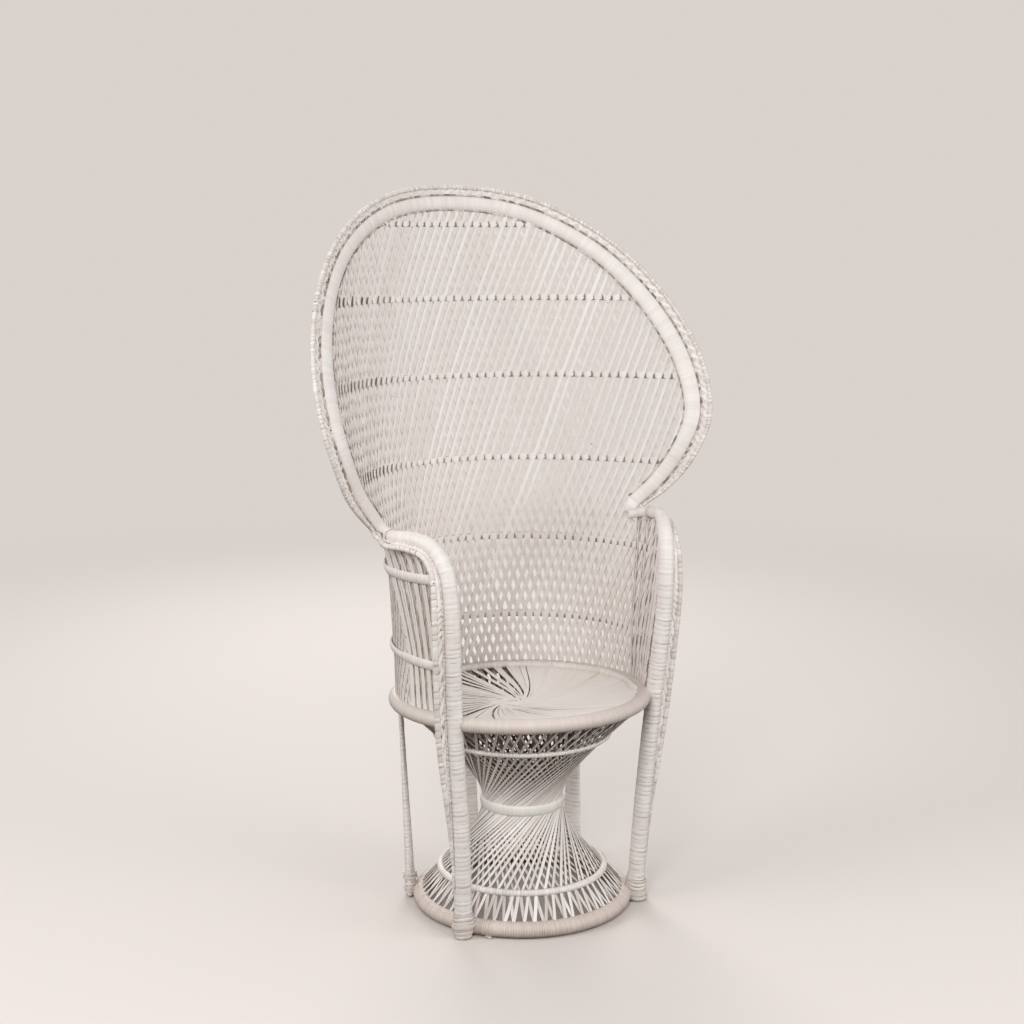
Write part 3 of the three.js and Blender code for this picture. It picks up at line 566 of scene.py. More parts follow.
def wound_tree() -> bpy.types.NodeTree:
    """Builds the tree that winds strips of cane round a core along its guide."""
    numbers = ("Strip", "Across", "Out", "Groove", "Wander", "Lift", "Slant")
    graph, given, finish = geometry_graph("Wound member", numbers, ("Sides", "Rings", "Seed"))
    turn = graph.add("GeometryNodeSplineParameter", out="Factor")
    circle = graph.kept(graph.circle(given["Sides"]), "turn", turn)
    line = graph.add("GeometryNodeMeshToCurve", {0: given["Guides"]})
    line = graph.add("GeometryNodeResampleCurve", {0: line, "Count": given["Rings"]}, mode="COUNT")
    line = graph.kept(line, "ring", graph.add("GeometryNodeInputIndex"))
    line = graph.kept(line, "run_way", graph.add("GeometryNodeInputTangent"), "FLOAT_VECTOR")
    body = graph.swept(circle, given["Out"], given["Across"], line)
    count = graph.named("ring") / STEPS_PER_STRIP
    strip = (count + ROUNDING).floor()
    phase = count - strip
    groove = (1 - (phase * np.pi).sine() * SEAM_SHARPNESS).clamp()

    def chance(shift: int, index: Term) -> Term:
        """Draws a number from 0 to 1 for a strip."""
        sockets = {"ID": index, "Seed": given["Seed"] + shift}
        return graph.add("FunctionNodeRandomValue", sockets, 1, data_type="FLOAT")

    here, next_one = chance(0, strip), chance(0, strip + 1)
    wander = (here + (next_one - here) * phase - 0.5) * given["Wander"]
    spread = (phase * FULL_TURN).sine() * STRIP_SPREAD
    around = (graph.named("turn") * FULL_TURN).sine() * given["Slant"]
    slide = (wander + spread + around) * given["Strip"]
    lift = (chance(1, strip) - 0.5) * given["Lift"] * (1 - groove) - groove * given["Groove"]
    sideways = graph.named("run_way", "FLOAT_VECTOR").vector("SCALE", "Scale", slide)
    offset = graph.add("GeometryNodeInputNormal").vector("SCALE", "Scale", lift).vector("ADD", 1, sideways)
    body = graph.kept(graph.kept(body, "seam", groove), "tint", chance(2, strip))
    return finish(graph.add("GeometryNodeSetPosition", {0: body, "Offset": offset}))


@dataclass(frozen=True)
class PaintedCane:
    """White brushed paint on cane, worn through to brown where it is rubbed, with painted shade along the side walls
    of flat canes.

    Attributes:
        name: the material's name.
        paint: the paint's colour as it is seen, from 0 to 255.
        shade: its darker tone, which some strips have; it is also painted shade on the rear family of crossing canes.
        spread: how far the strips' tones differ.
        seam_dark: how dark the seams between strips are.
        seam_top: height in metres above which the seams are painted over.
        seam_soft: half the height over which they fade.
        chips: how readily the paint is chipped, where 0 leaves it whole.
        edge_shade: how dark the painted shade along the side walls of flat canes is.
        bare_inside: how far the face away from the brush is bare cane.
        roughness: the paint's roughness.
    """

    name: str
    paint: tuple = (234, 228, 224)
    shade: tuple = (217, 207, 201)
    spread: float = 0.5
    seam_dark: float = 0.5
    seam_top: float = 5.0
    seam_soft: float = 0.08
    chips: float = 0.3
    edge_shade: float = 0.0
    bare_inside: float = 0.0
    roughness: float = 0.5

    def material(self) -> bpy.types.Material:
        """Builds the material."""
        made = bpy.data.materials.new(self.name)
        made.use_nodes = True
        graph = Graph(made.node_tree)
        shader = made.node_tree.nodes["Principled BSDF"]
        place = graph.add("ShaderNodeTexCoord", out="Object")
        height = graph.add("ShaderNodeSeparateXYZ", {0: place}, 2)

        def noise(scale: float, detail: float = 3.0) -> Term:
            """A soft noise over the surface."""
            return graph.add("ShaderNodeTexNoise", {"Vector": place, "Scale": scale, "Detail": detail})

        def attribute(name: str) -> Term:
            """A number stored on the piece."""
            return graph.add("ShaderNodeAttribute", out="Fac", attribute_name=name)

        fine = noise(380.0)
        unpainted = 1 - height.step(self.seam_top - self.seam_soft, self.seam_top + self.seam_soft) * 0.85
        broken = noise(48.0).step(0.38, 0.62)
        wear = self.chips * 0.2
        rubbed = noise(130.0).step(0.69, 0.71) * noise(17.0, 1.0).step(0.66 - wear, 0.7 - wear)
        wall = 1 - attribute("face").size().step(0.2, 0.5)
        hidden = (0 - attribute("face")).step(-0.2, 0.5)
        low_down = 1 - height.step(0.002, 0.017)
        layers = {
            "tone": (attribute("tint") * self.spread, self.shade),
            "cream": (noise(6.0, 2.0).step(0.56, 0.74) * 0.3, (228, 219, 203)),
            "blush": (noise(4.3).step(0.56, 0.7) * 0.28, (228, 213, 206)),
            "grain": (fine.step(0.5, 0.8) * 0.12, (200, 190, 180)),
            "seams": ((attribute("seam") * unpainted * broken * self.seam_dark).clamp(), (112, 98, 86)),
            # Side walls of flat canes darkened by noise: painted shade along their edges.
            "painted edge shade": (wall * noise(70.0).step(0.3, 0.55) * self.edge_shade, (130, 113, 100)),
            "inside": (hidden * self.bare_inside, BARE_CANE),
            "chips": (rubbed * (1.0 if self.chips else 0.0), BARE_CANE),
            "dirt": (low_down * noise(45.0).step(0.36, 0.6) * 0.5, (190, 168, 124)),
        }
        colour: Any = paint_colour(*self.paint)
        for share, tone in layers.values():
            colour = graph.mix(share, colour, paint_colour(*tone))
        rough = fine * 0.2 + (self.roughness - 0.1) + rubbed * 0.2
        relief = fine * 0.6 + noise(150.0, 2.0) * 0.8 - rubbed * 0.8
        bump = graph.add("ShaderNodeBump", {"Strength": 0.3, "Distance": 0.0006, "Height": relief}, "Normal")
        for name, term in {"Base Color": colour, "Roughness": rough, "Normal": bump}.items():
            graph.put(shader.inputs[name], term)
        return made


class Slot(Enum):
    """The finishes' slots."""

    ROLL = "roll_wrap"
    HOOP = "hoop_cane"
    WEAVE = "weave_cane"
    SEAT = "seat_cane"
    BINDING = "foot_binding"


class Look(Enum):
    """The finishes, each with the slot that it belongs to."""

    ROLL = Slot.ROLL, PaintedCane("roll wrap", spread=0.45, seam_dark=0.65, seam_top=0.66, chips=0.0)
    # Darker than the other paint: painted shade, offsetting the strong light on the rim's upward face.
    RIM = Slot.ROLL, PaintedCane(
        "rim wrap", (207, 197, 190), (197, 182, 171), 0.5, 0.7, seam_top=0.441, seam_soft=0.008, chips=0.05)
    # Darker, dirtier paint: dirt, and painted shade for the dimmer light near the floor.
    BASE = Slot.ROLL, PaintedCane(
        "base wrap", (210, 197, 189), (193, 176, 163), 0.6, 1.0, seam_top=0.021, seam_soft=0.009, chips=0.05)
    BAND = Slot.HOOP, PaintedCane("band wrap", (223, 219, 213), (214, 207, 200), 0.5, 0.12, chips=0.0)
    HOOP = Slot.HOOP, PaintedCane("hoop cane", spread=0.7, seam_dark=0.5, chips=0.25)
    ROD = Slot.HOOP, PaintedCane("rod cane", shade=(205, 195, 187), spread=0.8, seam_dark=0.7, chips=1.0)
    # Dark dashes; along the fan roll's inner edge they are painted shade.
    STITCH = Slot.HOOP, PaintedCane("stitch cane", (226, 217, 211), (120, 102, 88), 1.0, 0.6, chips=0.5)
    # Bare brown inner face: bare cane, and painted shade in the openings behind the strands.
    ROW = Slot.HOOP, PaintedCane("row cane", spread=0.6, seam_dark=0.5, chips=0.2, bare_inside=0.55)
    LACE = Slot.HOOP, PaintedCane("lace cane", spread=0.7, chips=0.0)
    # Lighter than the other paint: painted light, offsetting the roll's shade on the flanges' webs.
    WEB = Slot.WEAVE, PaintedCane("web cane", (238, 231, 226), (223, 214, 207), 0.8, chips=0.1, edge_shade=0.15)
    # Dark ties: bare cane, and painted shade for the shaded slits in the rows.
    TIE = Slot.HOOP, PaintedCane("bare tie and painted shade", (182, 169, 159), (100, 82, 70), 1.0, chips=0.0)
    WEAVE = Slot.WEAVE, PaintedCane("weave cane", shade=(220, 211, 205), spread=0.8, chips=0.1, edge_shade=0.85)
    PANEL = Slot.WEAVE, PaintedCane("panel cane", spread=0.9, chips=0.2, edge_shade=0.8, bare_inside=0.4)
    # Its darker tone also serves as painted shade on the cones' inner family of canes.
    CONE = Slot.WEAVE, PaintedCane(
        "cone cane", shade=(190, 177, 168), spread=0.9, chips=0.15, edge_shade=0.95, bare_inside=0.95)
    # Lighter paint: painted light, offsetting the shade in the seat's sag.
    SEAT = Slot.SEAT, PaintedCane(
        "seat cane", (238, 231, 226), spread=0.4, chips=0.0, edge_shade=0.6, bare_inside=0.9)
    # Dark brown copy of the cane: painted shade for the dark room under the seat, seen through its gaps.
    UNDER = Slot.SEAT, PaintedCane(
        "under cane painted shade", (172, 155, 142), (88, 68, 54), 0.9, chips=0.2, edge_shade=0.8, bare_inside=0.9)
    BINDING = Slot.BINDING, PaintedCane(
        "foot binding", (228, 221, 215), (206, 194, 184), 0.9, 0.85, chips=0.6)


@dataclass
class Guide:
    """A line that a cane or a wound member follows, in millimetres.

    Attributes:
        points: the line.
        face_out: the direction in which its face looks at each point.
        girth: scale or radius at each point.
        tint: tone of the whole cane, from 0 to 1.
        closed: whether it is a ring.
    """

    points: Array
    face_out: Array
    girth: Any = 1.0
    tint: float = 0.0
    closed: bool = False

    def length(self) -> float:
        """Length of the line."""
        points = np.vstack([self.points, self.points[:1]]) if self.closed else self.points
        return float(np.linalg.norm(np.diff(points, axis=0), axis=1).sum())


class Workshop:
    """Turns guides into finished pieces with the two trees."""

    cane_sharp = 0.7
    wound_sharp = 1.2

    def __init__(self) -> None:
        """Builds the trees and the materials."""
        self.canes = cane_tree()
        self.wound = wound_tree()
        self.materials = {look: look.value[1].material() for look in Look}

    def _guides(self, name: str, guides: Sequence[Guide], girth_scale: float) -> bpy.types.Object:
        """Makes the object whose edges are the guides."""
        counts = [len(guide.points) for guide in guides]
        starts = np.cumsum([0, *counts])
        points = np.vstack([guide.points for guide in guides])
        edges = []
        for guide, start, count in zip(guides, starts, counts):
            run = np.arange(start, start + count)
            pairs = stack(run[:-1], run[1:]).astype(int)
            edges.append(np.vstack([pairs, [[run[-1], run[0]]]]) if guide.closed else pairs)
        mesh = bpy.data.meshes.new(f"{name} guides")
        mesh.from_pydata((points * METRES + [0, AXIS_Y, 0]).tolist(), np.vstack(edges).tolist(), [])
        faces = []
        for guide in guides:
            along = tangents(guide.points, guide.closed)
            faces.append(square_to(np.broadcast_to(guide.face_out, guide.points.shape), along))
        girths = [np.broadcast_to(guide.girth, len(guide.points)) * girth_scale for guide in guides]
        tints = [np.full(len(guide.points), guide.tint) for guide in guides]
        for label, kind, key, parts in (
            ("face_out", "FLOAT_VECTOR", "vector", faces),
            ("girth", "FLOAT", "value", girths),
            ("tint", "FLOAT", "value", tints),
        ):
            mesh.attributes.new(label, kind, "POINT").data.foreach_set(key, np.concatenate(parts).ravel())
        made = bpy.data.objects.new(name, mesh)
        bpy.context.scene.collection.objects.link(made)
        return made

    def _bake(self, made: bpy.types.Object, tree: bpy.types.NodeTree, inputs: dict[str, Any]) -> None:
        """Runs a tree on the guides and keeps the result as a plain mesh."""
        modifier = made.modifiers.new("Make", "NODES")
        modifier.node_group = tree
        for item in tree.interface.items_tree:
            if item.in_out == "INPUT" and item.name in inputs:
                modifier[item.identifier] = inputs[item.name]
        graph = bpy.context.evaluated_depsgraph_get()
        mesh = bpy.data.meshes.new_from_object(made.evaluated_get(graph))
        made.modifiers.remove(modifier)
        guides = made.data
        made.data = mesh
        mesh.name = made.name
        bpy.data.meshes.remove(guides)

    def _hand_over(self, made: bpy.types.Object, look: Look, nodes: Sequence[str], sharp: float) -> bpy.types.Object:
        """Shades a piece, and ties it to the frame."""
        mesh = made.data
        mesh.shade_smooth()
        mesh.set_sharp_from_angle(angle=sharp)
        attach(made, "root")
        if nodes:
            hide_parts(*nodes)
        triangles = sum(len(face.vertices) - 2 for face in mesh.polygons)
        LOG.info("%s: %d triangles, stands for %s", made.name, triangles, ", ".join(nodes) or "nothing")
        return made

    def weave(self, name: str, guides: Sequence[Guide], width: float, thickness: float, look: Look,
              nodes: Sequence[str]) -> bpy.types.Object:
        """Makes a piece of flat canes.

        Args:
            name: the piece's name.
            guides: the canes' lines.
            width: width of a cane of girth 1, in millimetres.
            thickness: its thickness, in millimetres.
            look: the finish.
            nodes: the frame's nodes that it stands for.

        Returns:
            The piece.
        """
        made = self._guides(name, guides, 1.0)
        inputs = {"Width": width * METRES, "Thickness": thickness * METRES, "Finish": self.materials[look]}
        self._bake(made, self.canes, inputs)
        return self._hand_over(made, look, nodes, self.cane_sharp)

    def wind(self, name: str, guide: Guide, strip: float, look: Look, nodes: Sequence[str], sides: int = 16,
             across: float = 1.0, out: float = 1.0, groove: float = 0.5, wander: float = 0.3, lift: float = 0.3,
             slant: float = 0.12, seed: int = 1) -> bpy.types.Object:
        """Makes a piece wound with strips of cane.

        Args:
            name: the piece's name.
            guide: its middle line, with its radius as girth.
            strip: width of a strip, in millimetres.
            look: the finish.
            nodes: the frame's nodes that it stands for.
            sides: points round the section.
            across: the section's half width for a radius of 1.
            out: the section's half thickness for a radius of 1.
            groove: depth of the seam between strips, in millimetres.
            wander: how unevenly wide the strips are.
            lift: how unevenly high they lie, in millimetres.
            slant: how far a strip slants, in strips.
            seed: seed of the draws.

        Returns:
            The piece.
        """
        made = self._guides(name, [guide], METRES)
        strips = max(round(guide.length() / strip), 2)
        rings = strips * STEPS_PER_STRIP + (0 if guide.closed else 1)
        inputs = {
            "Sides": sides, "Rings": rings, "Strip": strip * METRES, "Across": across, "Out": out,
            "Groove": groove * METRES, "Wander": wander, "Lift": lift * METRES, "Slant": slant, "Seed": seed,
            "Finish": self.materials[look],
        }
        self._bake(made, self.wound, inputs)
        return self._hand_over(made, look, nodes, self.wound_sharp)


def ring_guide(radius: float, height: float, tube: float, steps: int = 180) -> Guide:
    """A round ring's guide."""
    turn = np.arange(steps) * FULL_TURN / steps
    return Guide(from_front(turn, radius, height), from_front(turn, 1.0, 0.0), tube, closed=True)


def mirrored(guide: Guide, sign: float) -> Guide:
    """Puts a guide of the right side on either side."""
    flip = np.array([sign, 1, 1])
    return Guide(guide.points * flip, np.asarray(guide.face_out) * flip, guide.girth, guide.tint, guide.closed)


def hoop_size(node: str) -> tuple[float, float]:
    """Half the width and the middle height of a node, in millimetres."""
    low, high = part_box(node)
    return (high.x - low.x) / 2 / METRES, (low.z + high.z) / 2 / METRES


def seeded(seed: int) -> Any:
    """A dataclass field of random draws from a seed."""
    return field(default_factory=lambda: np.random.default_rng(seed))


class Assembly:
    """A sub-assembly that makes its own random draws."""

    draws: np.random.Generator

    def draw(self, low: float = 0.0, high: float = 1.0) -> float:
        """Draws a number between two."""
        return self.draws.uniform(low, high)


@dataclass
class Base(Assembly):
    """The ring on the floor, the skirt, the hoops and the hourglass of crossing canes."""

    strip: float = 4.8
    hoop_strip: float = 7.0
    band_strip: float = 9.0
    skirt_pitches: int = 64
    end_canes: int = 150
    end_radii: tuple = (232.0, 170.0)
    end_top: float = 436.0
    end_feet: tuple = (366.0, 384.0)
    end_sway: float = 1.6
    cone_canes: int = 64
    family_offset: float = 1.1
    family_lag: float = 0.25
    inner_thin: float = 0.88
    inner_shade: float = 0.5
    cane_wide: float = 5.4
    skirt_wide: float = 6.4
    end_wide: float = 5.0
    cane_thick: float = 2.1
    hoop_tube: float = 5.5
    tail_turn: float = np.radians(-22)
    tail_marks: tuple = ((-165.8, -122.2, 19.0), (-163.0, -133.6, 10.0), (-164.6, -149.2, 3.5), (-162.0, -161.0, 3.2))
    draws: np.random.Generator = seeded(11)

    def cone(self, low: float, high: float, end_radius: float, way: int, rows: int = 13) -> list[Guide]:
        """Guides of a cone's two families of straight canes.

        Args:
            low: height of its lower end.
            high: height of its upper end.
            end_radius: radius at its far end from the waist.
            way: 1 if it widens upwards, -1 if downwards.
            rows: points along a cane.

        Returns:
            The guides.
        """
        waist, rise_all = FORM.waist_radius, high - low
        bend = np.sqrt(end_radius**2 - waist**2) / waist / rise_all
        turned = np.linspace(0, np.arctan(bend * rise_all), rows)
        rise = np.tan(turned) / bend
        radius = waist * np.hypot(1, bend * rise)
        height = low + rise if way > 0 else high - rise
        slope = waist**2 * bend**2 * rise / radius
        guides = []
        for family in (1, -1):
            for index in range(self.cone_canes):
                start = (index + self.draw(-0.14, 0.14) + (self.family_lag if family > 0 else 0)) / self.cone_canes
                lean = self.draw(-0.012, 0.012)
                turn = start * FULL_TURN + family * turned * way + lean * rise / rise_all
                out = unit(from_front(turn, 1.0, -slope * way))
                points = from_front(turn, radius, height) + out * (family * self.family_offset + self.draw(-0.2, 0.2))
                girth, tint = self.draw(0.82, 1.08), self.draw(0, 0.6)
                # The inner family lies behind the outer one: thinner, and darker as painted shade.
                if family < 0:
                    girth, tint = girth * self.inner_thin, tint + self.inner_shade
                guides.append(Guide(points, out, girth, tint))
        return guides

    def skirt(self) -> list[Guide]:
        """Guides of the skirt's zigzag."""
        low, high = 2 * FORM.base_height - 1.5, FORM.lower_hoop_height - 2
        foot, head = FORM.base_radius - 2, FORM.lower_hoop_radius - 1
        share = np.linspace(0, 1, 4)
        guides = []
        for index in range(self.skirt_pitches):
            for family in (-1, 1):
                shift, lean = self.draw(-0.1, 0.1), self.draw(-0.1, 0.1)
                turn = (index + shift + family * 0.5 * share + lean * share) / self.skirt_pitches * FULL_TURN
                out = unit(from_front(turn, 1.0, (foot - head) / (high - low)))
                points = from_front(turn, lerp(foot, head, share), lerp(low, high, share)) + out * family * 1.0
                guides.append(Guide(points, out, self.draw(0.9, 1.1), self.draw()))
        return guides

    def cane_ends(self) -> list[Guide]:
        """Guides of the seat canes' ends, which run down inside the cone from the rim to the upper hoop."""
        share = np.linspace(0, 1, 4)
        guides = []
        for index in range(self.end_canes):
            sway = self.draw(-0.3, 0.3) + self.draw(-self.end_sway, self.end_sway) * share
            turn = (index + sway) / self.end_canes * FULL_TURN
            height = lerp(self.end_top, self.draw(*self.end_feet), share)
            points = from_front(turn, lerp(*self.end_radii, share), height)
            guides.append(Guide(points, unit(from_front(turn, 1.0, -0.9)), self.draw(0.8, 1.2), self.draw()))
        return guides

    def build(self, shop: Workshop) -> None:
        """Makes the base."""
        tube = FORM.base_tube - 0.8
        ring = ring_guide(FORM.base_radius, tube, tube)
        shop.wind("base_ring_wrap", ring, self.strip, Look.BASE, ["base_ring"], groove=0.6, seed=3)
        tail = Spline(np.array(self.tail_marks), centripetal=True).at(np.linspace(0, 1, 9))
        loose = Guide(tail, from_front(self.tail_turn, 0.3, 1.0), 1.0, 0.3)
        shop.weave("base_loose_end", [loose], 6.5, 2.6, Look.BINDING, [])
        shop.weave("skirt_zigzag", self.skirt(), self.skirt_wide, 2.0, Look.CONE, ["skirt_weave"])
        hoop = ring_guide(FORM.lower_hoop_radius, FORM.lower_hoop_height, FORM.lower_hoop_tube + 0.6)
        shop.wind("lower_hoop_wrap", hoop, self.hoop_strip, Look.HOOP, ["lower_hoop"], sides=10,
                  groove=0.3, lift=0.5, seed=4)
        lower = self.cone(FORM.lower_hoop_height, FORM.waist_height - 3, FORM.lower_hoop_radius - 5.5, -1)
        shop.weave("lower_cone_canes", lower, self.cane_wide, self.cane_thick, Look.CONE, ["lower_cone_weave"])
        band = ring_guide(FORM.waist_radius + 1.0, FORM.waist_height - 3.0, 1.0)
        shop.wind("waist_band_wrap", band, self.band_strip, Look.BAND, ["waist_band"], sides=12, across=11.4, out=4.6,
                  groove=0.08, lift=0.08, seed=5)
        upper = self.cone(FORM.waist_height + 3, FORM.rim_height - 12, FORM.rim_radius + 4.5, 1)
        shop.weave("upper_cone_canes", upper, self.cane_wide, self.cane_thick, Look.CONE, ["upper_cone_weave"])
        shop.weave("seat_cane_ends", self.cane_ends(), self.end_wide, 1.6, Look.UNDER, [])
        radius, height = hoop_size("upper_hoop")
        hoop = ring_guide(radius - self.hoop_tube, height, self.hoop_tube)
        shop.wind("upper_hoop_wrap", hoop, self.hoop_strip, Look.HOOP, ["upper_hoop"], sides=10, groove=0.6, seed=6)


@dataclass
class Seat(Assembly):
    """The wrapped rim, the whirl of canes on it and the thin hoop at its back."""

    rim_strip: float = 4.6
    canes: int = 104
    under_canes: int = 48
    hub: float = 24.0
    hub_canes: int = 9
    hub_reach: float = 22.0
    level: float = 7.0
    sag: float = 18.0
    back_drop: float = 10.0
    hub_shift: tuple = (-32.0, -20.0, 0.0)
    rim_grow: float = 9.5
    rim_shift: tuple = (-7.0, -2.0, 1.0)
    rim_thicker: float = 1.6
    hoop_tube: float = 7.0
    cane_wide: float = 7.8
    cane_thick: float = 1.6
    solid_from: float = -56.0
    solid_to: float = 64.0
    dark_lines: tuple = (20.0, 8.0, -11.0, -34.0, -50.0)
    open_from: float = 72.0
    open_to: float = 200.0
    bend_on: float = 0.32
    loose_shift: float = 0.32
    pair_shift: float = 0.12
    jitter: float = 0.06
    solid_beside: float = 0.78
    solid_follow: float = 0.2
    crown: float = 1.6
    crown_reach: float = 45.0
    under_drop: float = 3.2
    bar_place: float = 75.0
    bar_reach: float = 216.0
    bar_span: float = 236.0
    draws: np.random.Generator = seeded(23)

    def settle(self, points: Array) -> Array:
        """Lowers points of the seat towards its back, as far as the seat slopes."""
        return points - stack(0, 0, self.back_drop / 2 * (1 + points[:, 1] / FORM.rim_radius))

    def whirl(self, count: int, swirl: float, drop: float, pairs: bool) -> list[Guide]:
        """Guides of one layer of canes that pass beside the hub.

        Args:
            count: canes in the layer.
            swirl: side of the hub on which the canes pass, 1 or -1.
            drop: how far the layer lies below the seat's top.
            pairs: whether canes stand in pairs, with a solid part on one side.

        Returns:
            The guides.
        """
        edge = FORM.rim_radius - 9
        pitch = 360 / count
        guides = []
        for index in range(count):
            turn = (index + 0.5) * pitch
            off = (turn + 180) % 360 - 180
            solid = pairs and self.solid_from < off < self.solid_to
            open_part = pairs and self.open_from < off % 360 < self.open_to
            loose = solid and min(abs(off - line) for line in self.dark_lines) < pitch / 2
            shift = self.loose_shift if loose else (-self.pair_shift if index % 2 else self.pair_shift) * open_part
            slip = self.draw(-self.jitter, self.jitter) * pitch * (1 if pairs else 3)
            angle = np.radians(turn + shift * pitch + slip)
            beside = self.draw(0.55, 1.0)
            beside = self.hub * (lerp(self.solid_beside, beside, self.solid_follow) if solid else beside)
            radius = lerp(beside * 1.02, edge, np.linspace(0, 1, 14) ** 1.2)
            bend = np.arcsin(np.clip(beside / radius, 0, 1)) + self.bend_on * (1 - radius / edge) ** 1.5
            heading = angle + swirl * bend
            level = FORM.rim_height + self.level - self.sag * (1 - (radius / edge) ** 2) - drop
            level = level + self.draw(-0.25, 0.25) + self.crown * np.exp(-radius / self.crown_reach) * self.draw()
            aside = np.array(self.hub_shift) * (1 - radius / edge)[:, None]
            points = stack(radius * np.cos(heading), radius * np.sin(heading), level) + aside
            room = 2 * np.pi * radius / count / self.cane_wide
            fill, most = (0.92, self.draw(0.95, 1.2)) if open_part or not pairs else (0.95, 1.6)
            if solid:
                fill, most = (0.8 if loose else 1.22), 4.0
            guides.append(Guide(self.settle(points), UP, np.clip(room * fill, 0.5, most), self.draw()))
        return guides

    def hub_disc(self) -> list[Guide]:
        """Guides of the short canes that close the hub."""
        run = np.linspace(-self.hub_reach, self.hub_reach, 5)
        guides = []
        for index in range(self.hub_canes):
            angle = index / self.hub_canes * np.pi + 0.2
            level = FORM.rim_height + 7.6 - self.sag + 0.12 * index - 0.004 * run**2
            points = stack(run * np.cos(angle), run * np.sin(angle), level) + self.hub_shift
            guides.append(Guide(self.settle(points), UP, 1.4, self.draw(0, 0.5)))
        return guides

    def hoop(self) -> Guide:
        """Guide of the thin hoop at the seat's back, which bends to the rim at both ends."""
        half_width, height = hoop_size("seat_back_hoop")
        turn = np.linspace(FORM.leg_angle - np.pi, np.pi - FORM.leg_angle, 120)
        ends = ease((np.abs(turn) - turn[-1] + 0.16) / 0.16)
        radius = lerp(half_width - self.hoop_tube, FORM.rim_radius, ends)
        level = lerp(height - 5, FORM.rim_height + 2, ends)
        return Guide(self.settle(stack(radius * np.sin(turn), radius * np.cos(turn), level)), UP, self.hoop_tube)

    def build(self, shop: Workshop) -> None:
        """Makes the seat."""
        rim = ring_guide(FORM.rim_radius + self.rim_grow, FORM.rim_height, FORM.rim_tube + self.rim_thicker)
        rim.points = self.settle(rim.points + self.rim_shift)
        shop.wind("seat_rim_wrap", rim, self.rim_strip, Look.RIM, ["seat_rim"], groove=0.18, lift=0.2, seed=7)
        upper = self.whirl(self.canes, -1.0, 0.0, True) + self.hub_disc()
        shop.weave("seat_canes", upper, self.cane_wide, self.cane_thick, Look.SEAT, ["seat_weave"])
        under = self.whirl(self.under_canes, 1.0, self.under_drop, False)
        shop.weave("seat_under_canes", under, self.cane_wide, self.cane_thick, Look.UNDER, ["seat_weave"])
        shop.wind("seat_back_hoop_wrap", self.hoop(), 6.0, Look.HOOP, ["seat_back_hoop"], sides=12,
                  groove=0.4, seed=8)
        for side, sign in SIDES:
            x, y = sign * self.bar_place, self.bar_reach * np.linspace(-1, 1, 24)
            level = FORM.rim_height - 1.5 - self.sag * (1 - np.hypot(x, y) ** 2 / self.bar_span**2)
            bar = Guide(self.settle(stack(x, y, level)), UP, 1.0, 0.5)
            shop.weave(f"seat_bar_{side}", [bar], 22.0, 8.0, Look.UNDER, [f"seat_batten_{side}"])


